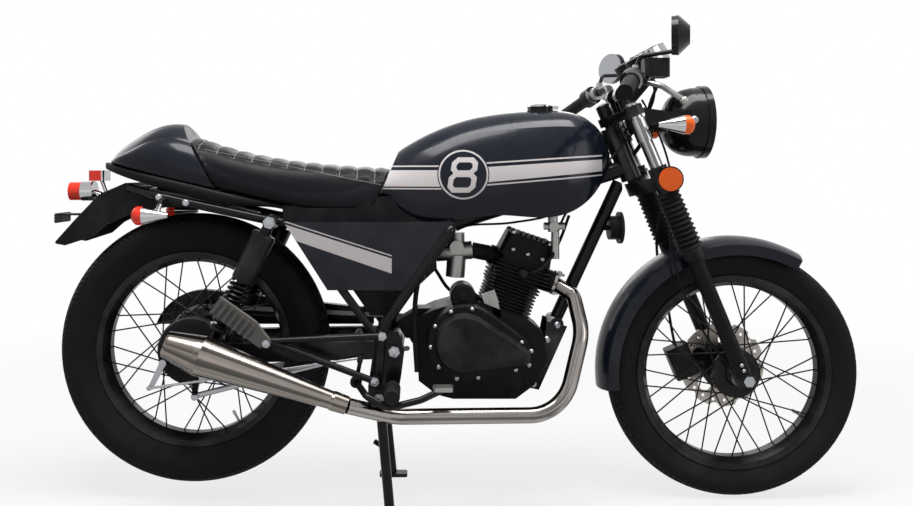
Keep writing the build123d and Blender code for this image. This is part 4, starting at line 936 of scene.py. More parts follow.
class MOTORCYCLE_OT_seat(bpy.types.Operator):
    """Model the seat pad with its sewn rolls and stitching"""

    bl_idname = "motorcycle.seat"
    bl_label = "Make the seat"

    def execute(self, context):
        seat = self.cover(context)
        self.sew_rolls(seat)
        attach(seat, "chassis")
        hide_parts("seat_pad")
        self.stitches(seat)
        return {"FINISHED"}

    def cover(self, context):
        """The seat pad as an even, slightly shrunken mesh that has swelled, and is rounded after it."""
        source = frame["nodes"]["seat_pad"]
        seat = bpy.data.objects.new("seat_cover", source.data.copy())
        seat.matrix_world = source.matrix_world
        context.scene.collection.objects.link(seat)
        context.view_layer.objects.active = seat
        remesh = seat.modifiers.new("remesh", "REMESH")
        remesh.mode = "VOXEL"
        remesh.voxel_size = SEAT_VOXEL
        soften = seat.modifiers.new("soften", "SMOOTH")
        soften.factor = 0.5
        soften.iterations = 4
        shrink = seat.modifiers.new("shrink", "DISPLACE")
        shrink.mid_level = 0.0
        shrink.strength = -SEAT_SHRINK
        self.apply(seat, context)
        swell(seat, context)
        rounder = seat.modifiers.new("rounder", "SUBSURF")
        rounder.levels = 1
        rounder.render_levels = 1
        self.apply(seat, context)
        return seat

    def apply(self, obj, context):
        """Bake the object's modifiers into its mesh."""
        shape = bpy.data.meshes.new_from_object(obj.evaluated_get(context.evaluated_depsgraph_get()))
        obj.modifiers.clear()
        obj.data = shape

    def sew_rolls(self, seat):
        """Press the channels between the rolls into what faces up."""
        mesh = seat.data
        normals = [vertex.normal.copy() for vertex in mesh.vertices]
        for vertex, normal in zip(mesh.vertices, normals):
            forward, left = local(vertex.co)[:2]
            lift = max(0.0, min(1.0, (normal.z - ROLLS_FACE_UP) / ROLLS_FACE_FADE))
            vertex.co -= normal * lift * roll_height(forward, left) * look().roll_depth
        mesh.materials.clear()
        mesh.materials.append(bpy.data.materials[LOOK + "seat_vinyl"])
        mesh.shade_smooth()

    def stitches(self, seat):
        """Thread dashes beside each channel and along both side seams."""
        mesh = seat.data
        tree = BVHTree.FromPolygons([v.co for v in mesh.vertices], [tuple(f.vertices) for f in mesh.polygons])
        bm = bmesh.new()
        pitch = look().roll_pitch / MM
        row = CHANNEL_STITCHES
        for number in range(int((ROLLS_TO - ROLLS_FROM) / pitch) + 2):
            forward = ROLLS_FROM + number * pitch + row["behind"]
            for step in range(-row["each_side"], row["each_side"] + 1):
                ends = [spot(forward, step * row["pitch"] + half, row["cast_from"])
                        for half in (-row["half"], row["half"])]
                self.dash(bm, tree, ends, -UP)
        row = SEAM_STITCHES
        for side in (1, -1):
            for step in range(row["count"]):
                forward = row["from"] + step * row["pitch"]
                up = row["up"] - row["slope"] * (forward - row["level_at"])
                ends = [spot(forward, side * row["cast_from"], up),
                        spot(forward + row["long"], side * row["cast_from"], up - row["drop"])]
                self.dash(bm, tree, ends, LEFT * -side)
        piece("seat_stitches", bm, "chassis", "thread")

    def dash(self, bm, tree, ends, ray):
        """One stitch laid on the cover where two rays meet it."""
        laid = []
        for end in ends:
            at, normal = tree.ray_cast(end, ray)[:2]
            if at is None:
                return
            laid.append(at + normal * THREAD_LIFT)
        tube(bm, laid, THREAD_R, 5)


# Chain of pins, rollers and plates round both sprockets

REAR_PITCH_R = 88.5
FRONT_PITCH_R = 38.0
FRONT_SPROCKET = (574.0, 392.0)
COVERED_FROM = 536.0
PIN = [(-0.0066, 0), (-0.0066, 0.0022), (0.0066, 0.0022), (0.0066, 0)]
ROLLER = [(-0.003, 0.0022), (-0.003, 0.004), (0.003, 0.004), (0.003, 0.0022)]
PLATE_LEFT = {"inner": 0.0036, "outer": 0.0054}
PLATE_R = 0.0052
PLATE_HALF = 0.0007
LONGEST_LINK = 0.03


def straight(start, end, pitch):
    """Pins from start up to, not at, end."""
    forward, up = end[0] - start[0], end[1] - start[1]
    count = int(hypot(forward, up) / pitch)
    shares = [number / count for number in range(count)]
    return [(start[0] + share * forward, start[1] + share * up) for share in shares]


def chain_path():
    """Closed run of pins: the top run, the low run, and the arc round the rear sprocket."""
    rear = (0.0, REAR_WHEEL_UP)
    span = (FRONT_SPROCKET[0] - rear[0], FRONT_SPROCKET[1] - rear[1])
    reach = hypot(*span)
    lean = (REAR_PITCH_R - FRONT_PITCH_R) / reach
    tilt = (span[0] / reach, span[1] / reach)
    rise = sqrt(1 - lean ** 2)

    def edge(centre, radius, side):
        """Where the straight run on one side leaves a sprocket's circle."""
        across = (-tilt[1] * side, tilt[0] * side)
        return (centre[0] + radius * (tilt[0] * lean + across[0] * rise),
                centre[1] + radius * (tilt[1] * lean + across[1] * rise))

    pitch = look().link_pitch / MM
    points = straight(edge(rear, REAR_PITCH_R, 1), edge(FRONT_SPROCKET, FRONT_PITCH_R, 1), pitch)
    foot = edge(rear, REAR_PITCH_R, -1)
    points += straight(edge(FRONT_SPROCKET, FRONT_PITCH_R, -1), foot, pitch)
    turn = pi + 2 * asin(lean)
    first = atan2(foot[1] - rear[1], foot[0] - rear[0])
    steps = int(REAR_PITCH_R * turn / pitch)
    for number in range(steps):
        angle = first - turn * number / steps
        points.append((rear[0] + REAR_PITCH_R * cos(angle), rear[1] + REAR_PITCH_R * sin(angle)))
    return points


def link_plate(bm, start, end, left):
    """Side plate with round ends between two pins."""
    along = (end - start).normalized()
    high = along.cross(LEFT)
    outline = []
    for at, sweep in ((start, 1), (end, -1)):
        for step in range(5):
            turn = pi / 2 + pi * step / 4
            outline.append(at + LEFT * left + sweep * PLATE_R * (along * cos(turn) + high * sin(turn)))
    near = [bm.verts.new(point - LEFT * PLATE_HALF) for point in outline]
    far = [bm.verts.new(point + LEFT * PLATE_HALF) for point in outline]
    bm.faces.new(near)
    bm.faces.new(far[::-1])
    skin(bm, [near, far])


class MOTORCYCLE_OT_chain(bpy.types.Operator):
    """Model the drive chain link by link"""

    bl_idname = "motorcycle.chain"
    bl_label = "Make the chain"

    def execute(self, context):
        bm = bmesh.new()
        pins = chain_path()
        for number, (here, after) in enumerate(zip(pins, pins[1:] + pins[:1])):
            start = spot(here[0], CHAIN_LEFT, here[1])
            end = spot(after[0], CHAIN_LEFT, after[1])
            covered = max(here[0], after[0]) > COVERED_FROM
            if covered or (end - start).length > LONGEST_LINK:
                continue
            lathe(bm, start, LEFT, PIN, 8)
            lathe(bm, start, LEFT, ROLLER, 10)
            left = PLATE_LEFT["outer" if number % 2 else "inner"]
            for side in (1, -1):
                link_plate(bm, start, end, side * left)
        chain = piece("chain_links", bm, "chassis", "chain_steel")
        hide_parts("drive_chain")
        return {"FINISHED"}


# Shock absorbers with coil springs

SHOCK_TOP = (205.0, 689.0)
SHOCK_FOOT = (68.0, 398.0)
SHOCK_HALF = 131.0
SHOCK_EYES = {"top": 0.016, "foot": 0.015}
EYE_BORE_R = 0.007
EYE_HALF = 0.0125
# (along, radius): the first part is measured from the top eye, the second from the foot
SHOCK_BODY = [(0.012, 0), (0.012, 0.012), (0.028, 0.014), (0.03, 0.026), (0.036, 0.029), (0.148, 0.0285),
              (0.152, 0.026), (0.152, 0.013)]
SHOCK_END = [(-0.05, 0.013), (-0.05, 0.027), (-0.042, 0.027), (-0.036, 0.016), (-0.01, 0.014), (-0.01, 0)]
COIL_RUN = (0.154, -0.052)
COIL_TURNS = 10
COIL_STEPS = 18
COIL_R = 23.5
COIL_WIRE_R = 3.6


def coil(top, down, reach):
    """Points of the spring between the shock's two collars."""
    side = down.orthogonal().normalized()
    other = down.cross(side)
    start, length = COIL_RUN[0], reach + COIL_RUN[1] - COIL_RUN[0]
    run = []
    for step in range(COIL_TURNS * COIL_STEPS + 1):
        turn = 2 * pi * step / COIL_STEPS
        along = start + length * step / (COIL_TURNS * COIL_STEPS)
        run.append(top + down * along + (side * cos(turn) + other * sin(turn)) * COIL_R * MM)
    return run


class MOTORCYCLE_OT_shocks(bpy.types.Operator):
    """Model both shock absorbers with their coil springs"""

    bl_idname = "motorcycle.shocks"
    bl_label = "Make the shock absorbers"

    def execute(self, context):
        bodies = bmesh.new()
        springs = bmesh.new()
        for side in (1, -1):
            top = spot(SHOCK_TOP[0], side * SHOCK_HALF, SHOCK_TOP[1])
            foot = spot(SHOCK_FOOT[0], side * SHOCK_HALF, SHOCK_FOOT[1])
            reach = (foot - top).length
            down = (foot - top).normalized()
            profile = SHOCK_BODY + [(reach + along, radius) for along, radius in SHOCK_END]
            lathe(bodies, top, down, profile)
            for at, radius in ((top, SHOCK_EYES["top"]), (foot, SHOCK_EYES["foot"])):
                lathe(bodies, at, LEFT, [(-EYE_HALF, EYE_BORE_R), (-EYE_HALF, radius), (EYE_HALF, radius),
                                         (EYE_HALF, EYE_BORE_R)])
            tube(springs, coil(top, down, reach), COIL_WIRE_R * MM, 8)
        shocks = piece("shock_bodies", bodies, "chassis", "frame_paint")
        piece("shock_springs", springs, "chassis", "gloss_plastic")
        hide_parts("rear_shocks")
        return {"FINISHED"}


# Fasteners. The cylinder head's own frame leans forward from its foot on the engine case

COVER_SCREWS = [
    {"side": -1, "half": 119.5, "centre": (668, 400), "reach": 84,
     "angles": (80, 115, 150, 185, 220, 255, 290)},
    {"side": -1, "half": 119.5, "centre": (792, 372), "reach": 33, "angles": (75, 20, -40, -100)},
    {"side": 1, "half": 117.5, "centre": (690, 400), "reach": 67, "angles": (70, 20, -30, -80)},
    {"side": 1, "half": 117.5, "centre": (574, 392), "reach": 38, "angles": (100, 180, 260)},
]
PLATE_BOLTS = [(897, 432), (872, 396), (846, 340), (838, 288), (800, 292)]
PLATE_HALF_WIDTH = 46.5
CHASSIS_BOLTS = [
    {"at": (498, 384), "half": 134.0, "radius": 11, "height": 7},
    {"at": (205, 689), "half": 144.0, "radius": 12, "height": 8},
    {"at": (68, 398), "half": 144.5, "radius": 11, "height": 8},
    {"at": (-64, 748), "half": 109.5, "radius": 7, "height": 5},
    {"at": (0, 735), "half": 109.5, "radius": 7, "height": 5},
    {"at": (470, 424), "half": 152.0, "radius": 9, "height": 6},
    {"at": (452, 318), "half": 152.0, "radius": 9, "height": 6},
    {"at": (204, 412), "half": 179.0, "radius": 8, "height": 5},
]
HEAD_FOOT = spot(767, 0, 467)
HEAD_LEAN = radians(19)
HEAD_UP = Vector((sin(HEAD_LEAN), 0, cos(HEAD_LEAN)))
HEAD_AHEAD = Vector((cos(HEAD_LEAN), 0, -sin(HEAD_LEAN)))
HEAD_TOP_BOLTS = [(-42, 46, 189.5), (54, 46, 189.5)]
HEAD_SIDE_SCREWS = [(-30, 54.5, 150), (8, 54.5, 150), (46, 54.5, 150)]
EXHAUST_NUTS = [(97, -22, 128), (97, -22, 80)]
# Radius and height of each kind of dome head
COVER_SCREW = (0.0058, 0.006)
PLATE_BOLT = (0.0085, 0.007)
HEAD_TOP_BOLT = (0.008, 0.009)
HEAD_SIDE_SCREW = (0.006, 0.006)
FORK_CAP = (0.013, 0.006)
HEADLIGHT_SCREW = (0.009, 0.007)
BRACKET_SCREW = (0.005, 0.005)
LEG_SCREW = (0.005, 0.005)
STEM_NUT = (0.014, 0.006)
WASHER_SHARE = 1.25
WASHER_THICKNESS = 0.0015
BOLT_TOP_SHARE = 0.8
NUT_ON_STUD = [(0, 0.0075), (0.012, 0.0075), (0.012, 0.004), (0.02, 0.004), (0.02, 0)]
YOKE_SCREW = [(-0.006, 0.006), (0.005, 0.006), (0.005, 0)]
YOKE_SCREWS_AHEAD = 22
YOKE_SCREWS_ALONG = (79, -96)
FORK_CAP_ALONG = 96
HEADLIGHT_SCREW_AT = (1216, 103, 933)
BRACKET_SCREW_AT = (1205, 101, 925)
LEG_SCREWS_AT = {"half": 113.5, "above_axle": (26, 40)}
STEM_NUT_AT = (2, 0, 119)


def head_spot(ahead, left, along):
    """Point in the cylinder head's own frame, from millimetres."""
    return HEAD_FOOT + (HEAD_AHEAD * ahead + LEFT * left + HEAD_UP * along) * MM


def bolt(bm, at, axis, radius, height):
    """Hexagon bolt head on a washer; radius and height in millimetres."""
    radius *= MM
    washer = radius * WASHER_SHARE
    lathe(bm, at, axis, [(0, washer), (WASHER_THICKNESS, washer), (WASHER_THICKNESS, radius),
                         ((height - 1) * MM, radius), (height * MM, radius * BOLT_TOP_SHARE),
                         (height * MM, 0)], 6)


class MOTORCYCLE_OT_fasteners(bpy.types.Operator):
    """Add screws, bolts and nuts"""

    bl_idname = "motorcycle.fasteners"
    bl_label = "Add the fasteners"

    def execute(self, context):
        self.on_chassis()
        self.on_fork()
        return {"FINISHED"}

    def on_chassis(self):
        """Screws of the engine's covers and head, and the bolts of the frame."""
        bm = bmesh.new()
        for row in COVER_SCREWS:
            for angle in row["angles"]:
                forward = row["centre"][0] + row["reach"] * cos(radians(angle))
                up = row["centre"][1] + row["reach"] * sin(radians(angle))
                dome(bm, spot(forward, row["side"] * row["half"], up), LEFT * row["side"], *COVER_SCREW)
        for side in (1, -1):
            for forward, up in PLATE_BOLTS:
                dome(bm, spot(forward, side * PLATE_HALF_WIDTH, up), LEFT * side, *PLATE_BOLT)
            for row in CHASSIS_BOLTS:
                at = spot(row["at"][0], side * (row["half"] - 1), row["at"][1])
                bolt(bm, at, LEFT * side, row["radius"], row["height"])
            for ahead, left, along in HEAD_TOP_BOLTS:
                dome(bm, head_spot(ahead, side * left, along), HEAD_UP, *HEAD_TOP_BOLT)
            for ahead, left, along in HEAD_SIDE_SCREWS:
                dome(bm, head_spot(ahead, side * left, along), LEFT * side, *HEAD_SIDE_SCREW)
        for place in EXHAUST_NUTS:
            lathe(bm, head_spot(*place), HEAD_AHEAD, NUT_ON_STUD, 6)
        piece("chassis_screws", bm, "chassis", "zinc")

    def on_fork(self):
        """Clamp screws and caps of the yokes, the stem's nut, and the screws of the headlight and legs."""
        bm = bmesh.new()
        for side in (1, -1):
            for along in YOKE_SCREWS_ALONG:
                at = fork_spot(FORK_AHEAD + YOKE_SCREWS_AHEAD, side * FORK_HALF, along)
                lathe(bm, at, STEER_AHEAD, YOKE_SCREW, 6)
            dome(bm, fork_spot(FORK_AHEAD, side * FORK_HALF, FORK_CAP_ALONG), STEER_UP, *FORK_CAP)
            for (forward, left, up), size in ((HEADLIGHT_SCREW_AT, HEADLIGHT_SCREW),
                                              (BRACKET_SCREW_AT, BRACKET_SCREW)):
                dome(bm, spot(forward, side * left, up), LEFT * side, *size)
            for above_axle in LEG_SCREWS_AT["above_axle"]:
                at = fork_spot(FORK_AHEAD, side * LEG_SCREWS_AT["half"], AXLE_ALONG + above_axle)
                dome(bm, at, LEFT * side, *LEG_SCREW)
        dome(bm, fork_spot(*STEM_NUT_AT), STEER_UP, *STEM_NUT)
        piece("steering_screws", bm, "steering", "zinc")


# Small fittings

REFLECTOR_AT = (1151, 130, 791)
REFLECTOR_BRACKET = (1146, 112, 790)
REFLECTOR_CUP = [(-0.012, 0), (-0.012, 0.026), (-0.003, 0.031), (0, 0.031), (0, 0.028)]
REFLECTOR_LENS = [(-0.001, 0.0285), (0.002, 0.0275), (0.0035, 0.02), (0.004, 0)]
BRACKET_FROM = 0.008
BRACKET_R = 0.007
DIAL_AT = (1111, 55, 1094)
DIAL_TILT = radians(31)
DIAL_UP = Vector((-sin(DIAL_TILT), 0, cos(DIAL_TILT)))
DIAL_LIFT = 0.0072
DIAL_START = -130
TICKS = 21
TICK_STEP = 13
TICK_RUN = (0.034, 0.041)
TICK_LIFT = 0.0016
TICK_R = 0.0006
NEEDLE_LIFT = 0.002
NEEDLE_LONG = 0.032
NEEDLE_R = 0.0011
DIAL_FACE = [(0, 0.045), (0.0012, 0.045), (0.0012, 0)]
DIAL_HUB = [(0.001, 0.005), (0.004, 0.004), (0.004, 0)]
VALVES = [
    {"name": "front_valve", "axle": FRONT_AXLE, "body": "front_wheel_set", "angle": -33},
    {"name": "rear_valve", "axle": REAR_AXLE, "body": "rear_wheel_set", "angle": -61},
]
VALVE_FOOT = 0.185
VALVE_STEM = [(0, 0), (0, 0.0035), (0.009, 0.0042), (0.012, 0.003), (0.03, 0.003)]
RIDER_RIBS = {"from": (495, 154, 303), "pitch": 9.5, "count": 9}
RIDER_RIB = [(-0.002, 0.0168), (-0.001, 0.0186), (0.001, 0.0186), (0.002, 0.0168)]
PASSENGER_RIBS = {"from": (91, 180, 499), "to": (165, 180, 441), "count": 7}
PASSENGER_RIB = (0.0034, 0.0028, 0.019)
PASSENGER_LEAN = radians(38)
STARTER_AT = (664, -63, 506)
STARTER_END = [(0, 0.03), (0.003, 0.031), (0.02, 0.031), (0.026, 0.026), (0.026, 0.01), (0.03, 0.008),
               (0.03, 0)]
PLUG_AT = (806, -52, 553)
PLUG_AXIS = Vector((0.15, -0.95, 0.28))
PLUG_CAP = [(0, 0.011), (0.022, 0.012), (0.034, 0.009), (0.034, 0)]
# The spark plug's lead, the breather and a hose from the carburettor to the engine's left
HOSES = [
    {"radius": 0.0038,
     "run": [(820, -60, 560), (838, -84, 566), (868, -86, 590), (905, -40, 640), (930, -26, 700)]},
    {"radius": 0.006,
     "run": [(560, -70, 640), (556, -92, 560), (548, -96, 500), (546, -100, 430), (552, -104, 330)]},
    {"radius": 0.0045, "run": [(598, 40, 560), (640, 66, 500), (700, 80, 486), (760, 84, 470)]},
]
STRAPS = [
    {"at": (730, -66, 500), "half": (0.017, 0.002, 0.017), "turn": -20},
    {"at": (742, -68, 483), "half": (0.009, 0.002, 0.03), "turn": -14},
    {"at": (655, -66, 492), "half": (0.01, 0.002, 0.022), "turn": 16},
]
CAP_RING = [(-0.001, 0.0335), (0.002, 0.0335), (0.0045, 0.03), (0.0045, 0.012), (0.0025, 0.011), (0.0025, 0)]
CAP_HINGE = (898, 0, 969)
CAP_HINGE_HALF = (0.008, 0.012, 0.004)
# Rows of forward, distance from the centre plane and upper edge
CLOSER_ROWS = [(232, 110, 728), (300, 110, 722), (400, 106, 722), (450, 92, 748), (505, 84, 752),
               (545, 94, 722), (632, 108, 708)]
CLOSER_LOW = 684
CLOSER_THICKNESS = 4


class MOTORCYCLE_OT_fittings(bpy.types.Operator):
    """Add reflectors, dials, valves, the pegs' ribs, engine fittings, filler cap and panel closers"""

    bl_idname = "motorcycle.fittings"
    bl_label = "Add the fittings"

    def execute(self, context):
        self.reflectors()
        self.dials()
        self.valves()
        self.pegs()
        self.engine_fittings()
        self.filler_cap()
        self.closers()
        return {"FINISHED"}

    def reflectors(self):
        """Round amber reflectors on brackets beside the lower yoke."""
        lenses = bmesh.new()
        cups = bmesh.new()
        forward, left, up = REFLECTOR_AT
        for side in (1, -1):
            at = spot(forward, side * left, up)
            out = LEFT * side
            lathe(cups, at, out, REFLECTOR_CUP, 40)
            lathe(lenses, at, out, REFLECTOR_LENS, 40)
            foot = spot(REFLECTOR_BRACKET[0], side * REFLECTOR_BRACKET[1], REFLECTOR_BRACKET[2])
            tube(cups, [at - out * BRACKET_FROM, foot], BRACKET_R, 8)
        piece("reflector_cups", cups, "steering", "black_plastic")
        piece("reflector_lenses", lenses, "steering", "amber_lens")

    def dials(self):
        """Pale dials with ticks and a needle under the two bezels."""
        faces = bmesh.new()
        marks = bmesh.new()
        for side in (1, -1):
            centre = spot(DIAL_AT[0], side * DIAL_AT[1], DIAL_AT[2]) + DIAL_UP * DIAL_LIFT
            lathe(faces, centre, DIAL_UP, DIAL_FACE, 40)
            for number in range(TICKS):
                out = self.on_dial(DIAL_START + TICK_STEP * number)
                ends = [centre + out * reach + DIAL_UP * TICK_LIFT for reach in TICK_RUN]
                tube(marks, ends, TICK_R, 4)
            foot = centre + DIAL_UP * NEEDLE_LIFT
            tube(marks, [foot, foot + self.on_dial(DIAL_START) * NEEDLE_LONG], NEEDLE_R, 6)
            lathe(marks, centre, DIAL_UP, DIAL_HUB, 16)
        piece("gauge_dials", faces, "steering", "pale_dial")
        piece("gauge_marks", marks, "steering", "gloss_plastic")

    def on_dial(self, degrees):
        """Direction on a dial's face, turned from its top."""
        return LEFT * sin(radians(degrees)) + DIAL_UP.cross(LEFT) * cos(radians(degrees))

    def valves(self):
        """One valve stem through each rim."""
        for row in VALVES:
            bm = bmesh.new()
            angle = radians(row["angle"])
            out = Vector((cos(angle), 0, sin(angle)))
            lathe(bm, row["axle"] + out * VALVE_FOOT, out, VALVE_STEM, 12)
            piece(row["name"], bm, row["body"], "zinc")

    def pegs(self):
        """Ribs round the rider's pegs and along the folded passenger pegs."""
        ribs = bmesh.new()
        forward, left, up = RIDER_RIBS["from"]
        for side in (1, -1):
            for number in range(RIDER_RIBS["count"]):
                at = spot(forward, side * (left + RIDER_RIBS["pitch"] * number), up)
                lathe(ribs, at, LEFT, RIDER_RIB, 24)
        piece("rider_peg_ribs", ribs, "chassis", "rubber")
        ribs = bmesh.new()
        for side in (1, -1):
            first, last = [spot(place[0], side * place[1], place[2])
                           for place in (PASSENGER_RIBS["from"], PASSENGER_RIBS["to"])]
            for number in range(PASSENGER_RIBS["count"]):
                centre = first.lerp(last, number / (PASSENGER_RIBS["count"] - 1))
                block(ribs, centre, PASSENGER_RIB, PASSENGER_LEAN)
        piece("passenger_peg_ribs", ribs, "chassis", "ribbed_rubber")

    def engine_fittings(self):
        """Starter motor, spark plug cap, hoses and the silver straps by the barrel."""
        bm = bmesh.new()
        lathe(bm, spot(*STARTER_AT), -LEFT, STARTER_END, 32)
        lathe(bm, spot(*PLUG_AT), PLUG_AXIS, PLUG_CAP, 16)
        for row in HOSES:
            tube(bm, curve_through([spot(*point) for point in row["run"]]), row["radius"], 8)
        piece("engine_hoses", bm, "chassis", "rubber")
        straps = bmesh.new()
        for row in STRAPS:
            block(straps, spot(*row["at"]), row["half"], radians(row["turn"]))
        piece("engine_straps", straps, "chassis", "cast_alloy")

    def filler_cap(self):
        """Filler cap's ring and hinge."""
        bm = bmesh.new()
        lathe(bm, spot(*CAP_AT), UP, CAP_RING, 48)
        block(bm, spot(*CAP_HINGE), CAP_HINGE_HALF)
        piece("filler_cap", bm, "chassis", "chrome")

    def closers(self):
        """Black strips that close the gap between the side panels and the seat and tank."""
        bm = bmesh.new()
        for side in (1, -1):
            rings = []
            for forward, inner, high in CLOSER_ROWS:
                outer = inner + CLOSER_THICKNESS
                section = [(inner, CLOSER_LOW), (inner, high), (outer, high), (outer, CLOSER_LOW)]
                rings.append([bm.verts.new(spot(forward, side * left, up)) for left, up in section])
            skin(bm, rings)
            for ring in (rings[0], rings[-1]):
                bm.faces.new(ring)
        piece("panel_closers", bm, "chassis", "black_plastic")


# Cables, as tubes along a smooth run through their knots

CABLES = [
    {"name": "clutch_cable", "radius": 0.0032,
     "run": [(1074, 196, 1014), (1106, 150, 1010), (1120, 80, 968), (1080, 44, 900), (1000, 46, 800),
             (930, 52, 690), (880, 60, 560), (800, 76, 480)], "bend": (2, 5)},
    {"name": "throttle_cable", "radius": 0.0028,
     "run": [(1066, -214, 1012), (1106, -150, 1004), (1118, -70, 960), (1070, -40, 886), (990, -46, 800),
             (900, -52, 712), (790, -46, 684), (690, -20, 676), (652, 0, 662)], "bend": (2, 5)},
    {"name": "main_loom", "radius": 0.0055,
     "run": [(1172, 10, 940), (1140, 24, 905), (1106, 40, 852), (1050, 44, 800), (980, 38, 764),
             (900, 30, 730)], "bend": (1, 4)},
]


class MOTORCYCLE_OT_cables(bpy.types.Operator):
    """Add the cables that run between the handlebar and the frame"""

    bl_idname = "motorcycle.cables"
    bl_label = "Add the cables"

    def execute(self, context):
        for row in CABLES:
            bm = bmesh.new()
            knots = [spot(*point) for point in row["run"]]
            tube(bm, curve_through(knots, 10), row["radius"], 8)
            cable = piece(row["name"], bm, None, "rubber")
            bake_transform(cable)
        return {"FINISHED"}


# Camera, lights and white surroundings

CAMERA_AT = (547.0, -2100.0, 808.0)
CAMERA_LENS = 32.9
CAMERA_SENSOR = 36.0
CAMERA_SHIFT = (0.0455, -0.0887)
CAMERA_SEES_TO = 50.0
WORLD_COLOR = (0.86, 0.9, 1.0, 1)
WORLD_STRENGTH = 0.045
FLOOR_HALF = 6.0
FLOOR_UP = -0.001
FLOOR_COLOR = (0.6, 0.6, 0.59, 1)
FLOOR_WHITE = 0.78
FLOOR_FADE = (1.2, 3.0)
SOFTBOXES = [
    {"name": "top_box", "at": (700, -500, 2700), "look": (500, 0, 700), "size": (2.6, 0.9), "share": 2.0},
    {"name": "front_box", "at": (2900, -1500, 1500), "look": (900, 0, 600), "size": (1.2, 1.6),
     "share": 0.24},
    {"name": "side_box", "at": (-300, -3000, 900), "look": (500, 0, 500), "size": (2.4, 1.2),
     "share": 0.05},
    {"name": "rear_box", "at": (-1700, 1300, 1700), "look": (200, 0, 700), "size": (1.4, 1.4),
     "share": 0.22},
    {"name": "far_box", "at": (900, 2600, 1800), "look": (500, 0, 700), "size": (2.2, 1.4), "share": 0.34},
]


def pale_surroundings(tree, lit, out, kind, share):
    """Show white, by share, to camera, glossy and transmission rays; other rays meet the lit shader."""
    path = tree.nodes.new("ShaderNodeLightPath")
    seen = calc(tree, "MAXIMUM", path.outputs["Is Camera Ray"], path.outputs["Is Glossy Ray"])
    seen = calc(tree, "MAXIMUM", seen, path.outputs["Is Transmission Ray"])
    white = tree.nodes.new(kind)
    white.inputs["Color"].default_value = WHITE
    white.inputs["Strength"].default_value = 1.0
    mix = tree.nodes.new("ShaderNodeMixShader")
    wire(tree, product(tree, seen, share), mix.inputs[0])
    tree.links.new(lit, mix.inputs[1])
    tree.links.new(white.outputs[0], mix.inputs[2])
    tree.links.new(mix.outputs[0], out)


def floor_material():
    """Matte floor that turns white away from the motorcycle and keeps its shadow near it."""
    material = bpy.data.materials.new("floor_white")
    material.use_nodes = True
    tree = material.node_tree
    matte = tree.nodes["Principled BSDF"]
    matte.inputs["Base Color"].default_value = FLOOR_COLOR
    matte.inputs["Roughness"].default_value = 0.9
    reach = tree.nodes.new("ShaderNodeVectorMath")
    reach.operation = "LENGTH"
    wire(tree, tree.nodes.new("ShaderNodeTexCoord").outputs["Object"], reach.inputs[0])
    share = ramp(tree, reach.outputs["Value"], *FLOOR_FADE, FLOOR_WHITE, 1.0)
    out = tree.nodes["Material Output"].inputs[0]
    pale_surroundings(tree, matte.outputs[0], out, "ShaderNodeEmission", share)
    return material


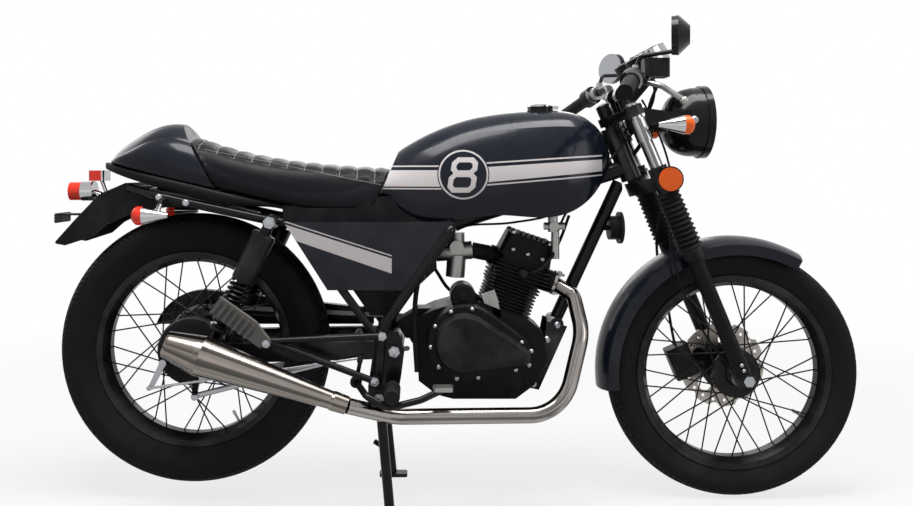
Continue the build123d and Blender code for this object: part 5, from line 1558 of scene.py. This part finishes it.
class MOTORCYCLE_OT_stage(bpy.types.Operator):
    """Set up the floor, the white surroundings, the softboxes and the camera"""

    bl_idname = "motorcycle.stage"
    bl_label = "Set the stage"

    def execute(self, context):
        scene = context.scene
        scene.view_settings.view_transform = "Standard"
        self.surroundings(scene)
        self.ground(scene)
        for row in SOFTBOXES:
            self.softbox(scene, row)
        self.camera(scene)
        return {"FINISHED"}

    def surroundings(self, scene):
        """White world that lights the scene only a little."""
        world = bpy.data.worlds.new("surroundings")
        world.use_nodes = True
        scene.world = world
        tree = world.node_tree
        background = tree.nodes["Background"]
        background.inputs["Color"].default_value = WORLD_COLOR
        background.inputs["Strength"].default_value = WORLD_STRENGTH
        out = tree.nodes["World Output"].inputs[0]
        pale_surroundings(tree, background.outputs[0], out, "ShaderNodeBackground", 1.0)

    def ground(self, scene):
        """Flat floor just under the feet of the stand."""
        mesh = bpy.data.meshes.new("floor")
        bm = bmesh.new()
        bmesh.ops.create_grid(bm, x_segments=1, y_segments=1, size=FLOOR_HALF)
        bm.to_mesh(mesh)
        bm.free()
        mesh.materials.append(floor_material())
        ground = bpy.data.objects.new("floor", mesh)
        ground.location = (0, 0, FLOOR_UP)
        scene.collection.objects.link(ground)

    def softbox(self, scene, row):
        """Rectangular lamp that looks at a point of the motorcycle."""
        light = bpy.data.lights.new(row["name"], "AREA")
        light.shape = "RECTANGLE"
        light.size, light.size_y = row["size"]
        light.energy = look().key_light * row["share"]
        lamp = bpy.data.objects.new(row["name"], light)
        lamp.location = spot(*row["at"])
        toward = spot(*row["look"]) - lamp.location
        lamp.rotation_euler = toward.to_track_quat("-Z", "Y").to_euler()
        scene.collection.objects.link(lamp)

    def camera(self, scene):
        """Level camera on the motorcycle's right, where the photograph was taken from."""
        camera = bpy.data.cameras.new("camera")
        camera.lens = CAMERA_LENS
        camera.sensor_width = CAMERA_SENSOR
        camera.shift_x, camera.shift_y = CAMERA_SHIFT
        camera.clip_end = CAMERA_SEES_TO
        holder = bpy.data.objects.new("camera", camera)
        holder.location = spot(*CAMERA_AT)
        holder.rotation_euler = (pi / 2, 0, 0)
        scene.collection.objects.link(holder)
        scene.camera = holder


# The add-on

STEPS = ["materials", "nodes", "tyres", "seat", "chain", "shocks", "fasteners", "fittings", "cables", "stage"]


class MOTORCYCLE_PT_panel(bpy.types.Panel):
    """The motorcycle's sizes, colours and steps"""

    bl_label = "Motorcycle"
    bl_idname = "MOTORCYCLE_PT_panel"
    bl_space_type = "VIEW_3D"
    bl_region_type = "UI"
    bl_category = "Motorcycle"

    def draw(self, context):
        for name in MotorcycleLook.__annotations__:
            self.layout.prop(context.scene.motorcycle_look, name)
        for step in STEPS:
            self.layout.operator("motorcycle." + step)


CLASSES = [
    MotorcycleLook, MOTORCYCLE_OT_materials, MOTORCYCLE_OT_nodes, MOTORCYCLE_OT_tyres, MOTORCYCLE_OT_seat,
    MOTORCYCLE_OT_chain, MOTORCYCLE_OT_shocks, MOTORCYCLE_OT_fasteners, MOTORCYCLE_OT_fittings,
    MOTORCYCLE_OT_cables, MOTORCYCLE_OT_stage, MOTORCYCLE_PT_panel,
]


def register():
    """Add the panel, the operators and the scene's settings."""
    for cls in CLASSES:
        bpy.utils.register_class(cls)
    bpy.types.Scene.motorcycle_look = bpy.props.PointerProperty(type=MotorcycleLook)


def unregister():
    """Take them out again."""
    del bpy.types.Scene.motorcycle_look
    for cls in reversed(CLASSES):
        bpy.utils.unregister_class(cls)


def main():
    """Run every step in order."""
    register()
    for step in STEPS:
        getattr(bpy.ops.motorcycle, step)()


if __name__ == "__main__":
    main()
